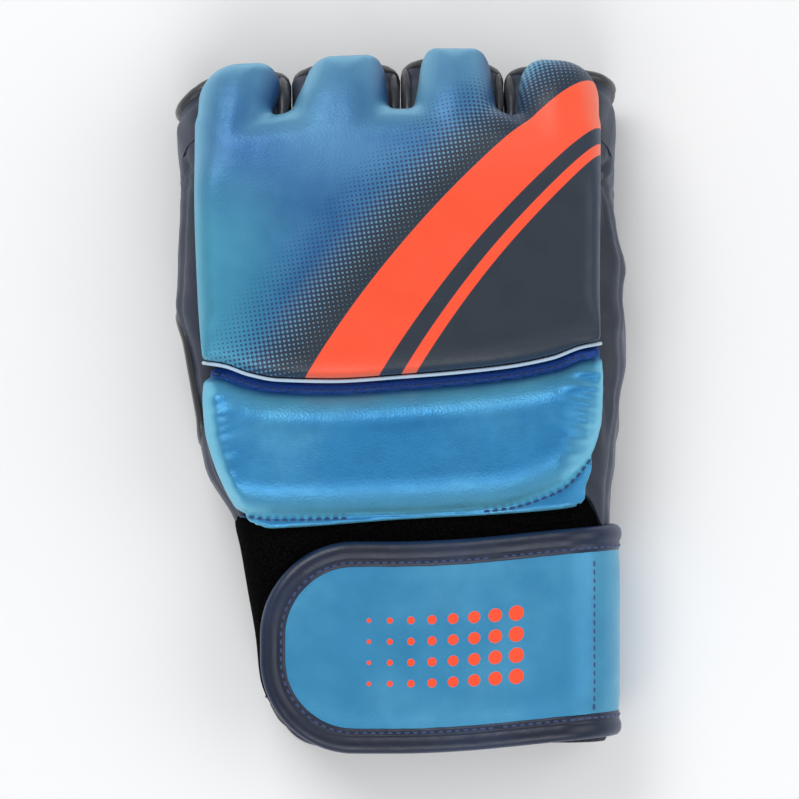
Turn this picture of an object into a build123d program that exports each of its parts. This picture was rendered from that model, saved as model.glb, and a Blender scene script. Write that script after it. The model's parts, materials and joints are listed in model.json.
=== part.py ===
from build123d import *

import os
from math import cos, degrees, radians, sin

# Right-hand open-finger sparring glove, lying palm down, in millimetres.
# +X points to the little-finger side, +Y to the fingertips and +Z out of the back of the hand.
# The origin is under the middle of the glove, on the surface that it lies on.

# Finger sleeves and the pad lobe above each: name, sleeve width, lobe inset on the left and on
# the right, and the lobe's reach past the knuckle line
FINGERS = (
    ("index", 31.6, 5.2, 2.3, 39.3),
    ("middle", 30.0, 2.8, 3.8, 41.3),
    ("ring", 28.4, 4.2, 3.7, 43.0),
    ("little", 30.4, 2.9, 4.6, 40.3),
)
SLEEVE_GAP = 1.4
SLEEVE_ROW_CENTRE = -1.4
SLEEVE_HEIGHT = 22.0
SLEEVE_LENGTH = 16.0
SLEEVE_WALL = 1.3
SLEEVE_CORNER = 9.0
SLEEVE_TILT = 20.0
RIM_PROUD = 0.4
RIM_INSIDE = 0.6
RIM_LENGTH = 3.0
FLEX_RELIEF = 42.0
BODY_GAP = 0.3

SLEEVE_ROW = sum(finger[1] for finger in FINGERS) + SLEEVE_GAP * (len(FINGERS) - 1)
SLEEVES_LEFT = SLEEVE_ROW_CENTRE - SLEEVE_ROW / 2
SLEEVES_RIGHT = SLEEVE_ROW_CENTRE + SLEEVE_ROW / 2

# Main pad over the knuckles: its sides line up with the outer lobes
PAD_LEFT = SLEEVES_LEFT + FINGERS[0][2]
PAD_RIGHT = SLEEVES_RIGHT - FINGERS[-1][3]
PAD_TOP = 47.5
PAD_THICK = 14.0
PAD_EDGE_RADIUS = 11.0
PAD_SKIRT = 2.6
KNUCKLE_Y = 58.0
KNUCKLE_RADIUS = 60.0
WEB_ANGLE = 23.0
TIP_ANGLE = 46.0
COVER_THICK = 1.2
LOBE_CORNER = 8.0

# Seam between the main pad and the wrist roll: an arc through three heights
SEAM_LEFT_Y = 11.5
SEAM_MIDDLE_Y = 6.3
SEAM_RIGHT_Y = 16.5
SEAM_MIDDLE_SHIFT = -9.0
PIPING_RADIUS = 1.15
PIPING_FIT = 0.3
PIPING_DEEP = 6.0
PIPING_SHORT = 2.5

# Wrist roll
ROLL_LEFT_INSET = 2.2
ROLL_WAIST_Y = -9.0
ROLL_LOW_LEFT = -44.5
ROLL_LOW_Y = -37.0
ROLL_LOW_RIGHT_Y = -30.5
ROLL_DROP = 1.5
ROLL_EDGE_DROP = 8.5

# Cuff
CUFF_HIGH_Y = -34.0
CUFF_LENGTH = 64.0
CUFF_LEFT_HIGH = -47.0
CUFF_LEFT_LOW = -38.0
CUFF_RIGHT = 58.8
CUFF_BOTTOM = 4.4
CUFF_HEIGHT = 28.2
CUFF_CORNER = 12.5
CUFF_WALL = 3.0
CUFF_HEM = 4.0
SLIT_AT = -20.0
SLIT_WIDTH = 3.0
CUFF_LOW_Y = CUFF_HIGH_Y - CUFF_LENGTH
CUFF_TOP = CUFF_BOTTOM + CUFF_HEIGHT

PAD_SKIRT_Z = CUFF_TOP - PAD_SKIRT
ROLL_TOP = PAD_TOP - ROLL_DROP

# Hand chamber: leather walls round the hand, and how far each section bulges past the fingers
WALL = 1.5
LINING = 0.8
CHAMBER_CORNER = 12.0
BOTTOM_Z = 1.2
HEEL_Y = -20.0
PALM_Y = 0.0
WIDEST_Y = 28.0
HEEL_BULGE = (-8.7, -0.1)
PALM_BULGE = (-5.2, 2.4)
WIDEST_BULGE = (0.3, 3.1)
KNUCKLE_BULGE = (-1.2, 0.1)
FRONT_BULGE = (-2.2, -0.3)
HEEL_RISE = 1.4
PALM_RISE = 2.0
FRONT_RISE = 0.2
GUSSET_LOW_Z = 8.0
GUSSET_HIGH_Z = 27.0

# Open palm, thumb opening and palm patch
PALM_OPENING = (46.0, 30.0)
PALM_OPENING_AT = (-2.0, 22.0)
PALM_OPENING_CORNER = 12.0
THUMB_OPENING = (36.0, 16.0)
THUMB_OPENING_Y = 6.0
THUMB_OPENING_CORNER = 7.0
BINDING_WIDTH = 3.0
BINDING_PROUD = 0.8
PATCH = (64.0, 22.0)
PATCH_CORNER = 6.0
PATCH_GAP = 1.0

# Wrist strap: its plies are counted outwards from the cuff
STRAP_WIDTH = 60.5
STRAP_OVERHANG = 3.0
STRAP_TIP_X = -40.0
STRAP_TIP_RADIUS = 27.0
STRAP_ANCHOR_X = -36.0
STRAP_EDGE = 1.0
STRAP_BINDING = 7.4
LOOP_PLY = (0.0, 0.8)
HOOK_PLY = (1.1, 1.7)
CORE_PLY = (1.7, 2.8)
FACE_PLY = (2.8, 3.8)
BINDING_PLY = (1.1, 4.4)
LOOP_LEFT = -32.0
LOOP_RIGHT = 44.0
PATCH_INSET = 3.0
TURN_X = 46.0
TIP_JOINT_X = 8.0
TURN_LOW_Z = 10.0
STRAP_LOW_Y = CUFF_LOW_Y - STRAP_OVERHANG
STRAP_HIGH_Y = STRAP_LOW_Y + STRAP_WIDTH

REACH = 200.0
SMALLEST_CORNER = 0.2

# The circle that the pad bends round at the knuckles, and the crease that each finger turns about
ARC_Z = PAD_TOP - KNUCKLE_RADIUS


def arc_point(radius, angle):
    return (KNUCKLE_Y + radius * sin(radians(angle)), ARC_Z + radius * cos(radians(angle)))


HINGE = arc_point(KNUCKLE_RADIUS - PAD_THICK, WEB_ANGLE)


def along_x(outline, x0, x1):
    """A face drawn in the YZ plane, made solid from x0 to x1."""
    plane = Plane(origin=(x0, 0, 0), x_dir=(0, 1, 0), z_dir=(1, 0, 0))
    return extrude(plane * outline, x1 - x0)


def along_y(outline, y0, y1):
    """A face drawn in the XZ plane, made solid from y0 to y1."""
    plane = Plane(origin=(0, y1, 0), x_dir=(1, 0, 0), z_dir=(0, -1, 0))
    return extrude(plane * outline, y1 - y0)


def along_z(outline, z0, z1):
    return extrude(Pos(0, 0, z0) * outline, z1 - z0)


def block(x0, x1, y0, y1, z0, z1):
    return Pos((x0 + x1) / 2, (y0 + y1) / 2, (z0 + z1) / 2) * Box(x1 - x0, y1 - y0, z1 - z0)


def polygon(*points):
    return make_face(Polyline(*points, close=True))


def closed(*lines):
    """A face inside a loop of straight and curved lines."""
    edges = [edge for line in lines for edge in line.edges()]
    return make_face(Wire(edges))


def rounded(x0, x1, z0, z1, radius):
    """A rounded rectangle between two corners, its radius no more than half of its short side."""
    corner = max(SMALLEST_CORNER, min(radius, min(x1 - x0, z1 - z0) / 2 - SMALLEST_CORNER))
    return Pos((x0 + x1) / 2, (z0 + z1) / 2) * RectangleRounded(x1 - x0, z1 - z0, corner)


def tube(stations, corner, inset):
    """A rounded tube, filled, through sections at the given y, all moved in by inset."""
    faces = []
    for y, left, right, low, high in stations:
        plane = Plane(origin=(0, y, 0), x_dir=(1, 0, 0), z_dir=(0, -1, 0))
        outline = rounded(left + inset, right - inset, low + inset, high - inset, corner - inset)
        faces.append(plane * outline)
    return loft(faces, ruled=True)


def chamber_block(inset):
    """The hand chamber, filled, with every wall moved in by inset."""
    left, right = SLEEVES_LEFT, SLEEVES_RIGHT
    palm_top = CUFF_TOP + PALM_RISE
    front_top = HINGE[1] + FRONT_RISE
    stations = (
        (CUFF_HIGH_Y, CUFF_LEFT_HIGH, CUFF_RIGHT, CUFF_BOTTOM, CUFF_TOP),
        (HEEL_Y, left - HEEL_BULGE[0], right + HEEL_BULGE[1], BOTTOM_Z, CUFF_TOP + HEEL_RISE),
        (PALM_Y, left - PALM_BULGE[0], right + PALM_BULGE[1], BOTTOM_Z, palm_top),
        (WIDEST_Y, left - WIDEST_BULGE[0], right + WIDEST_BULGE[1], BOTTOM_Z, palm_top),
        (KNUCKLE_Y, left - KNUCKLE_BULGE[0], right + KNUCKLE_BULGE[1], BOTTOM_Z, palm_top),
        (HINGE[0] + 2, left - FRONT_BULGE[0], right + FRONT_BULGE[1], BOTTOM_Z, front_top),
    )
    return tube(stations, CHAMBER_CORNER, inset)


def cuff_block(inset):
    """The tapered cuff, filled, with its wall moved in by inset."""
    stations = (
        (CUFF_LOW_Y, CUFF_LEFT_LOW, CUFF_RIGHT, CUFF_BOTTOM, CUFF_TOP),
        (CUFF_HIGH_Y, CUFF_LEFT_HIGH, CUFF_RIGHT, CUFF_BOTTOM, CUFF_TOP),
    )
    return tube(stations, CUFF_CORNER, inset)


def in_front_of_hand():
    """Everything past the web crease, and past the relief that the flexed fingers sweep."""
    y, z = HINGE
    top = (y + REACH * sin(radians(WEB_ANGLE)), z + REACH * cos(radians(WEB_ANGLE)))
    low = (y - REACH * sin(radians(FLEX_RELIEF)), z - REACH * cos(radians(FLEX_RELIEF)))
    return along_x(
        polygon((y, z), top, (y + REACH, top[1]), (y + REACH, low[1]), low), -REACH, REACH
    )


def finger_region():
    """What turns with a finger: past the web crease above the hinge line, and upright below it."""
    y, z = HINGE[0] + BODY_GAP, HINGE[1]
    top = (y + REACH * sin(radians(WEB_ANGLE)), z + REACH * cos(radians(WEB_ANGLE)))
    return along_x(
        polygon((y, z), top, (y + REACH, top[1]), (y + REACH, z - REACH), (y, z - REACH)),
        -REACH,
        REACH,
    )


def pad_side_profile(inset):
    """Side view of the main pad: flat, then bent down over the knuckles."""
    radius = KNUCKLE_RADIUS - inset
    start = (KNUCKLE_Y, PAD_TOP - inset)
    middle = arc_point(radius, WEB_ANGLE / 2)
    end = arc_point(radius, (WEB_ANGLE + TIP_ANGLE) / 2)
    low, back = PAD_SKIRT_Z, -REACH
    return closed(
        Polyline((back, low), (back, PAD_TOP - inset), start),
        ThreePointArc(start, middle, end),
        Polyline(end, (end[0], low), (back, low)),
    )


def seam_points(drop):
    """Three points on the seam, each moved towards the wrist by drop."""
    middle_x = (PAD_LEFT + PAD_RIGHT) / 2 + SEAM_MIDDLE_SHIFT
    return (
        (PAD_LEFT, SEAM_LEFT_Y - drop),
        (middle_x, SEAM_MIDDLE_Y - drop),
        (PAD_RIGHT, SEAM_RIGHT_Y - drop),
    )


def past_seam(drop, far_y):
    """The plan on one side of the seam, after moving the seam towards the wrist by drop."""
    left, middle, right = seam_points(drop)
    return closed(
        ThreePointArc(left, middle, right),
        Polyline(right, (right[0], far_y), (left[0], far_y), left),
    )


def pad_block(inset):
    arch = rounded(
        PAD_LEFT + inset, PAD_RIGHT - inset, 0, PAD_TOP - inset, PAD_EDGE_RADIUS - inset
    )
    shape = along_x(pad_side_profile(inset), -REACH, REACH) & along_y(arch, -REACH, REACH)
    return shape & along_z(past_seam(-inset, REACH), 0, REACH)


def roll_side_profile(inset):
    edge_z = PAD_TOP - ROLL_EDGE_DROP - inset
    near, far = (ROLL_LOW_Y, edge_z), (SEAM_RIGHT_Y, edge_z)
    middle = ((ROLL_LOW_Y + SEAM_MIDDLE_Y) / 2, ROLL_TOP - inset)
    return closed(
        ThreePointArc(near, middle, far),
        Polyline(far, (far[0], PAD_SKIRT_Z), (near[0], PAD_SKIRT_Z), near),
    )


def roll_plan(inset):
    left, right = PAD_LEFT + ROLL_LEFT_INSET + inset, PAD_RIGHT - inset
    outline = polygon(
        (left, REACH),
        (left, ROLL_WAIST_Y),
        (ROLL_LOW_LEFT + inset, ROLL_LOW_Y + inset),
        (right, ROLL_LOW_RIGHT_Y + inset),
        (right, REACH),
    )
    return outline & past_seam(2 * (PIPING_RADIUS + PIPING_FIT) + inset, -REACH)


def roll_block(inset):
    arch = rounded(
        PAD_LEFT + inset, PAD_RIGHT - inset, 0, ROLL_TOP - inset, PAD_EDGE_RADIUS - inset
    )
    shape = along_x(roll_side_profile(inset), -REACH, REACH) & along_y(arch, -REACH, REACH)
    return shape & along_z(roll_plan(inset), 0, REACH)


def back_pads(front, chamber, cuff):
    """The two stuffed pads, each a leather cover over a foam core, and the cord in their seam."""
    under = chamber + cuff + along_x(thumb_opening(BINDING_WIDTH), -REACH, 0)
    pad_core = pad_block(COVER_THICK)
    roll_core = roll_block(COVER_THICK)
    height = PAD_TOP - PIPING_DEEP
    line = ThreePointArc(*((x, y, height) for x, y in seam_points(PIPING_RADIUS + PIPING_FIT)))
    cord = sweep(Plane(line @ 0, z_dir=line % 0) * Circle(PIPING_RADIUS), path=line)
    trim = block(PAD_LEFT + PIPING_SHORT, PAD_RIGHT - PIPING_SHORT, -REACH, REACH, 0, REACH)
    return {
        "back_pad_cover": pad_block(0) - pad_core - under - front,
        "back_pad_foam": pad_core - under - front,
        "wrist_roll_cover": roll_block(0) - roll_core - under,
        "wrist_roll_foam": roll_core - under,
        "seam_piping": cord & trim,
    }


def palm_opening(grow):
    width, depth = PALM_OPENING
    outline = RectangleRounded(width + 2 * grow, depth + 2 * grow, PALM_OPENING_CORNER + grow)
    return Pos(*PALM_OPENING_AT) * outline


def thumb_opening(grow):
    length, height = THUMB_OPENING
    outline = RectangleRounded(length + 2 * grow, height + 2 * grow, THUMB_OPENING_CORNER + grow)
    return Pos(THUMB_OPENING_Y, (BOTTOM_Z + CUFF_TOP) / 2) * outline


def hand_chamber(front, chamber):
    """The leather walls round the hand, their lining, and the bound openings in them."""
    palm_hole = along_z(palm_opening(0), -REACH, GUSSET_LOW_Z)
    thumb_hole = along_x(thumb_opening(0), -REACH, PALM_OPENING_AT[0])
    lining_outer = chamber_block(WALL)
    wall = chamber - lining_outer - front
    lining = lining_outer - chamber_block(WALL + LINING) - front - palm_hole - thumb_hole
    back = block(-REACH, REACH, -REACH, REACH, GUSSET_HIGH_Z, REACH)
    side = block(0, REACH, -REACH, REACH, GUSSET_LOW_Z, GUSSET_HIGH_Z)
    palm = block(-REACH, REACH, -REACH, REACH, -REACH, GUSSET_LOW_Z)
    palm_frame = along_z(palm_opening(BINDING_WIDTH) - palm_opening(0), 0, BOTTOM_Z)
    patch_y = PALM_OPENING_AT[1] - PALM_OPENING[1] / 2 - BINDING_WIDTH - PATCH_GAP - PATCH[1] / 2
    patch = Pos(PALM_OPENING_AT[0], patch_y) * RectangleRounded(*PATCH, PATCH_CORNER)
    thumb_frame = along_x(thumb_opening(BINDING_WIDTH) - thumb_opening(0), -REACH, 0)
    thumb_shell = chamber_block(-BINDING_PROUD) - chamber
    return {
        "backing_panel": wall & back,
        "little_side_gusset": wall & side,
        "thumb_side_gusset": (wall & mirror(side, Plane.YZ)) - thumb_hole,
        "palm_panel": (wall & palm) - palm_hole - thumb_hole,
        "hand_lining": lining,
        "palm_opening_binding": palm_frame,
        "thumb_opening_binding": thumb_frame & thumb_shell,
        "palm_patch": along_z(patch, 0, BOTTOM_Z),
    }


def cuff_parts(cuff):
    """The stretch cuff, open along the palm, with its hem and the loop patch sewn on its back."""
    slit = block(
        SLIT_AT - SLIT_WIDTH / 2, SLIT_AT + SLIT_WIDTH / 2, -REACH, REACH, -REACH, CUFF_TOP / 2
    )
    shell = cuff - cuff_block(CUFF_WALL) - slit
    hem_zone = block(-REACH, REACH, CUFF_LOW_Y, CUFF_LOW_Y + CUFF_HEM, -REACH, REACH)
    patch = block(
        LOOP_LEFT,
        LOOP_RIGHT,
        STRAP_LOW_Y + STRAP_BINDING,
        STRAP_HIGH_Y - STRAP_BINDING,
        CUFF_TOP + LOOP_PLY[0],
        CUFF_TOP + LOOP_PLY[1],
    )
    return {
        "cuff_band": shell - hem_zone,
        "cuff_hem": shell & hem_zone,
        "loop_patch": patch,
    }


def strap_ply(low, high):
    """One ply of the strap's ring round the cuff, from low to high above the cuff's face."""


    def ring(grow):
        return rounded(
            -REACH, CUFF_RIGHT + grow, CUFF_BOTTOM - grow, CUFF_TOP + grow, CUFF_CORNER + grow
        )

    return along_y(ring(high) - ring(low), -REACH, REACH)


def strap_plan(inset):
    """Plan of the strap's upper run, which ends in a round tip over the thumb side."""
    outline = rounded(
        STRAP_TIP_X + inset,
        REACH,
        STRAP_LOW_Y + inset,
        STRAP_HIGH_Y - inset,
        STRAP_TIP_RADIUS - inset,
    )
    return along_z(outline, -REACH, REACH)


def strap_zones():
    """The strap's rigid lengths: under the palm, round the side, over the back and the tip."""
    middle = (CUFF_BOTTOM + CUFF_TOP) / 2
    outside = CUFF_RIGHT - CUFF_CORNER
    under = block(STRAP_ANCHOR_X, REACH, -REACH, REACH, -REACH, TURN_LOW_Z - BODY_GAP)
    turn = block(TURN_X + BODY_GAP, REACH, -REACH, REACH, TURN_LOW_Z, REACH)
    turn = turn - block(-REACH, outside, -REACH, REACH, -REACH, middle)
    panel = block(TIP_JOINT_X + BODY_GAP, TURN_X, -REACH, REACH, middle, REACH)
    tip = block(-REACH, TIP_JOINT_X, -REACH, REACH, middle, REACH)
    return {"under": under, "turn": turn, "panel": panel, "tip": tip}


def strap_parts():
    """Each length of the strap: face, core, bound edge, and hooks or the backing sewn to the cuff."""
    inside = strap_plan(STRAP_EDGE)
    window = strap_plan(STRAP_BINDING)
    face = strap_ply(*FACE_PLY)
    core = strap_ply(*CORE_PLY)
    filling = strap_ply(CORE_PLY[0], FACE_PLY[1]) & inside
    binding = (strap_ply(*BINDING_PLY) & strap_plan(0)) - filling - window
    hooks = strap_ply(*HOOK_PLY) & strap_plan(STRAP_BINDING + PATCH_INSET)
    zones = strap_zones()
    parts = {}
    for zone, region in zones.items():
        parts[f"strap_{zone}_face"] = face & inside & region
        parts[f"strap_{zone}_core"] = core & inside & region
        parts[f"strap_{zone}_binding"] = binding & region
    for zone in ("panel", "tip"):
        parts[f"strap_{zone}_hooks"] = hooks & zones[zone]
    backing = strap_ply(LOOP_PLY[0], CORE_PLY[0]) & strap_plan(STRAP_BINDING)
    parts["strap_under_backing"] = backing & zones["under"]
    return parts


def sleeve_plane(forward):
    """Square to the finger, at the front rim of its sleeve or forward of it, centred on its height."""
    tilt = radians(SLEEVE_TILT)
    along = SLEEVE_LENGTH + forward
    y = HINGE[0] + along * cos(tilt) - SLEEVE_HEIGHT / 2 * sin(tilt)
    z = HINGE[1] - along * sin(tilt) - SLEEVE_HEIGHT / 2 * cos(tilt)
    return Plane(origin=(0, y, z), x_dir=(1, 0, 0), z_dir=(0, -cos(tilt), sin(tilt)))


def sleeve_outline(x0, x1, grow):
    half = SLEEVE_HEIGHT / 2 + grow
    return rounded(x0 - grow, x1 + grow, -half, half, SLEEVE_CORNER + grow)


def lobe_block(x0, x1, reach, inset):
    """One fingertip lobe of the main pad."""
    outer, inner = KNUCKLE_RADIUS - inset, KNUCKLE_RADIUS - PAD_THICK - SLEEVE_CORNER
    last = TIP_ANGLE - degrees(inset / KNUCKLE_RADIUS)
    first = 0
    side = closed(
        ThreePointArc(*(arc_point(outer, a) for a in (first, (first + last) / 2, last))),
        Line(arc_point(outer, last), arc_point(inner, last)),
        ThreePointArc(*(arc_point(inner, a) for a in (last, (first + last) / 2, first))),
        Line(arc_point(inner, first), arc_point(outer, first)),
    )
    tip_y = KNUCKLE_Y + reach - inset
    plan = rounded(x0 + inset, x1 - inset, 0, tip_y, LOBE_CORNER - inset)
    return along_x(side, -REACH, REACH) & along_z(plan, -REACH, REACH)


def finger_parts(name, x0, x1, lobe_left, lobe_right, reach):
    """One finger: an open sleeve with a rolled rim, and the padded lobe on top of it."""
    region = finger_region()
    depth = 2 * SLEEVE_LENGTH
    filled = extrude(sleeve_plane(0) * sleeve_outline(x0, x1, 0), depth)
    hollow = extrude(sleeve_plane(0) * sleeve_outline(x0, x1, -SLEEVE_WALL), depth)
    rim_filled = extrude(sleeve_plane(RIM_LENGTH) * sleeve_outline(x0, x1, RIM_PROUD), RIM_LENGTH)
    rim_hollow = extrude(
        sleeve_plane(RIM_LENGTH) * sleeve_outline(x0, x1, -SLEEVE_WALL - RIM_INSIDE), RIM_LENGTH
    )
    outer = lobe_block(x0 + lobe_left, x1 - lobe_right, reach, 0) & region
    inner = lobe_block(x0 + lobe_left, x1 - lobe_right, reach, COVER_THICK) & region
    return {
        f"{name}_pad_cover": outer - inner - filled - rim_filled,
        f"{name}_pad_foam": (inner & outer) - filled - rim_filled,
        f"{name}_sleeve": (filled - hollow) & region,
        f"{name}_rim": rim_filled - rim_hollow,
    }


def glove():
    chamber = chamber_block(0)
    cuff = cuff_block(0)
    front = in_front_of_hand()
    parts = {}
    parts.update(back_pads(front, chamber, cuff))
    parts.update(hand_chamber(front, chamber))
    parts.update(cuff_parts(cuff))
    parts.update(strap_parts())
    left = SLEEVES_LEFT
    for name, width, lobe_left, lobe_right, reach in FINGERS:
        parts.update(finger_parts(name, left, left + width, lobe_left, lobe_right, reach))
        left += width + SLEEVE_GAP
    return parts


def main():
    os.makedirs("parts", exist_ok=True)
    for name, shape in glove().items():
        export_step(Compound(shape.solids()), f"parts/{name}.step")


main()
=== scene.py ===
import json
import math

import bpy
import bmesh
import numpy as np
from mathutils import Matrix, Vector, noise


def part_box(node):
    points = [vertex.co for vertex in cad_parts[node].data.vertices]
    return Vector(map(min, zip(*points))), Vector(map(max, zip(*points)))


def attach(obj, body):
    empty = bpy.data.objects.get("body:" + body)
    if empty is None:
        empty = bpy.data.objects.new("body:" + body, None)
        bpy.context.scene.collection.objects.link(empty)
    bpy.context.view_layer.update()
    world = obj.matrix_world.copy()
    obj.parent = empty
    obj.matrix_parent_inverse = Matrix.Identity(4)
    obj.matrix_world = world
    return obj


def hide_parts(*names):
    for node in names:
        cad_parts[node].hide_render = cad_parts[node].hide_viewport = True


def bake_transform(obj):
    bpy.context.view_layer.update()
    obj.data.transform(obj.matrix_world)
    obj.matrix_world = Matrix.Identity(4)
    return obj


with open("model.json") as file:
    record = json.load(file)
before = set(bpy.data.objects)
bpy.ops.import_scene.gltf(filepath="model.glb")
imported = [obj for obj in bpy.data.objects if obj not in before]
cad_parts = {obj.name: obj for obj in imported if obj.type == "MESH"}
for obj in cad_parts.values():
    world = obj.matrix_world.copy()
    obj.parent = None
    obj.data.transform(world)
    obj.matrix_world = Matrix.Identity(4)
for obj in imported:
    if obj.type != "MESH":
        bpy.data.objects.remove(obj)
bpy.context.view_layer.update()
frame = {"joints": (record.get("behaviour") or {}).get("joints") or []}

# Sizes and places below are in millimetres, and make_mesh turns them into metres.
MM = 0.001
FINGERS = ("index", "middle", "ring", "little")


def box_mm(node):
    low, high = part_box(node)
    return np.array(low) / MM, np.array(high) / MM


def joint_mm(name):
    return np.array(next(j["pos_m"] for j in frame["joints"] if j["name"] == name)) / MM


# ---------------------------------------------------------------- the hand's frame

KNUCKLE_RADIUS = 60.0
PAD_THICK = 14.0
WEB_ANGLE = math.radians(23)
_, HINGE_Y, HINGE_Z = joint_mm("index_flex")
KNUCKLE_Y = HINGE_Y - (KNUCKLE_RADIUS - PAD_THICK) * math.sin(WEB_ANGLE)
ARC_Z = HINGE_Z - (KNUCKLE_RADIUS - PAD_THICK) * math.cos(WEB_ANGLE)
PAD_TOP = ARC_Z + KNUCKLE_RADIUS
WEB_V = KNUCKLE_Y + KNUCKLE_RADIUS * WEB_ANGLE
# the slant, back from the vertical, of the hand's front edge below the hinges
RELIEF = math.radians(42)


def bend(points):
    """Flat pad coordinates (across, along the skin, up from the skin) taken over the knuckles."""
    u, v, w = np.asarray(points, float).T
    angle = np.maximum(v - KNUCKLE_Y, 0) / KNUCKLE_RADIUS
    radius = KNUCKLE_RADIUS + w
    past = v > KNUCKLE_Y
    y = np.where(past, KNUCKLE_Y + radius * np.sin(angle), v)
    z = np.where(past, ARC_Z + radius * np.cos(angle), PAD_TOP + w)
    return np.stack([u, y, z], 1)


def smooth(x, low, high):
    t = np.clip((x - low) / (high - low), 0, 1)
    return t * t * (3 - 2 * t)


def curve_through(points):
    """A smooth function of x through a few (x, value) points, with no overshoot."""
    px, py = np.array(points, float).T
    slope = np.diff(py) / np.diff(px)
    tangent = np.zeros_like(py)
    both = slope[:-1] * slope[1:]
    mean = 2 * both / np.where(both > 0, slope[:-1] + slope[1:], 1)
    tangent[1:-1] = np.where(both > 0, mean, 0)
    tangent[0], tangent[-1] = slope[0], slope[-1]

    def value(x):
        x = np.clip(x, px[0], px[-1])
        i = np.clip(np.searchsorted(px, x) - 1, 0, len(px) - 2)
        h = px[i + 1] - px[i]
        t = (x - px[i]) / h
        a = (1 + 2 * t) * (1 - t) ** 2 * py[i] + t * (1 - t) ** 2 * h * tangent[i]
        return a + t * t * (3 - 2 * t) * py[i + 1] + t * t * (t - 1) * h * tangent[i + 1]

    return value


def ripple(points, scale, seed=0.0):
    """Smooth noise from -1 to 1 at each point, the same on every run."""
    return np.array([noise.noise(Vector((p[0] / scale + seed, p[1] / scale, p[2] / scale))) for p in points])


# ---------------------------------------------------------------- meshes


def make_mesh(name, points, faces, material, uv=None, normals=None, shade=None):
    """A smooth-shaded piece from points in millimetres. uv holds two values for each point, shade one."""
    mesh = bpy.data.meshes.new(name)
    mesh.from_pydata((np.asarray(points, float) * MM).tolist(), [], [list(f) for f in faces])
    mesh.update()
    mesh.polygons.foreach_set("use_smooth", [True] * len(mesh.polygons))
    if uv is not None:
        layer = mesh.uv_layers.new(name="flat")
        corner = np.zeros(len(mesh.loops), int)
        mesh.loops.foreach_get("vertex_index", corner)
        layer.data.foreach_set("uv", (np.asarray(uv, float)[corner] * MM).astype(np.float32).ravel())
    if shade is not None:
        layer = mesh.attributes.new("shade", "FLOAT", "POINT")
        layer.data.foreach_set("value", np.asarray(shade, np.float32))
    if normals is not None:
        mesh.normals_split_custom_set_from_vertices(np.asarray(normals, float).tolist())
    piece = bpy.data.objects.new(name, mesh)
    bpy.context.scene.collection.objects.link(piece)
    mesh.materials.append(material)
    return piece


def grid_faces(rows, columns, closed=False, start=0):
    """Faces between the rows of a grid of points that begins at index start."""
    faces = []
    for i in range(rows - 1):
        for j in range(columns if closed else columns - 1):
            k = (j + 1) % columns
            a, b = start + i * columns, start + (i + 1) * columns
            faces.append((a + j, a + k, b + k, b + j))
    return faces


def end_caps(rows, columns, start=0):
    """The first and the last face of a closed grid's open ends."""
    last = start + (rows - 1) * columns
    return [tuple(range(start, start + columns))[::-1], tuple(range(last, last + columns))]


def vertex_normals(points, faces):
    """Area-weighted normals of a mesh with faces of four corners."""
    points, faces = np.asarray(points, float), np.asarray(faces, int)
    a, b, c, d = (points[faces[:, i]] for i in range(4))
    face_normal = np.cross(c - a, d - b)
    total = np.zeros_like(points)
    for i in range(4):
        np.add.at(total, faces[:, i], face_normal)
    return total / np.maximum(np.linalg.norm(total, axis=1, keepdims=True), 1e-9)


def surface_net(field, low, high, step):
    """A closed mesh of four-cornered faces on the surface where field is zero; inside is negative."""
    axes = [np.arange(a, b + step, step) for a, b in zip(low, high)]
    grid = np.stack(np.meshgrid(*axes, indexing="ij"), -1)
    value = field(grid.reshape(-1, 3)).reshape(grid.shape[:3])
    cells = tuple(n - 1 for n in value.shape)
    total, count = np.zeros(cells + (3,)), np.zeros(cells)
    corners = [(i, j, k) for i in (0, 1) for j in (0, 1) for k in (0, 1)]

    def corner(offset, source):
        i, j, k = offset
        return source[i : i + cells[0], j : j + cells[1], k : k + cells[2]]

    for a in corners:
        for axis in range(3):
            if a[axis]:
                continue
            b = tuple(x + (n == axis) for n, x in enumerate(a))
            fa, fb = corner(a, value), corner(b, value)
            crossing = (fa < 0) != (fb < 0)
            t = np.where(crossing, fa / np.where(crossing, fa - fb, 1), 0)[..., None]
            place = corner(a, grid) * (1 - t) + corner(b, grid) * t
            total += np.where(crossing[..., None], place, 0)
            count += crossing
    used = count > 0
    index = np.full(cells, -1)
    index[used] = np.arange(used.sum())
    points = total[used] / count[used][:, None]
    faces = []
    for axis in range(3):
        one, two = [n for n in range(3) if n != axis]
        near = [slice(1, cells[n]) if n != axis else slice(0, cells[n]) for n in range(3)]
        ahead = [slice(1, cells[n]) if n != axis else slice(1, cells[n] + 1) for n in range(3)]
        fa, fb = value[tuple(near)], value[tuple(ahead)]
        for flip, mask in ((False, (fa < 0) & (fb >= 0)), (True, (fa >= 0) & (fb < 0))):
            at = np.argwhere(mask) + np.array([0 if n == axis else 1 for n in range(3)])
            quad = []
            for d1, d2 in ((-1, -1), (0, -1), (0, 0), (-1, 0)):
                cell = at.copy()
                cell[:, one] += d1
                cell[:, two] += d2
                quad.append(index[cell[:, 0], cell[:, 1], cell[:, 2]])
            quad = np.stack(quad, 1)
            faces.append(quad[:, ::-1] if flip != (axis == 1) else quad)
    faces = np.concatenate(faces)
    return settle(field, points), faces[(faces >= 0).all(1)]


def settle(field, points):
    """Moves points straight onto the surface where field is zero, in a few Newton steps."""
    steps, reach, least = 4, 0.05, 0.05
    for _ in range(steps):
        here = field(points)
        slope = np.stack([(field(points + reach * e) - here) / reach for e in np.eye(3)], 1)
        size = np.maximum((slope**2).sum(1), least)
        points = points - (here / size)[:, None] * slope
    return points


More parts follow.
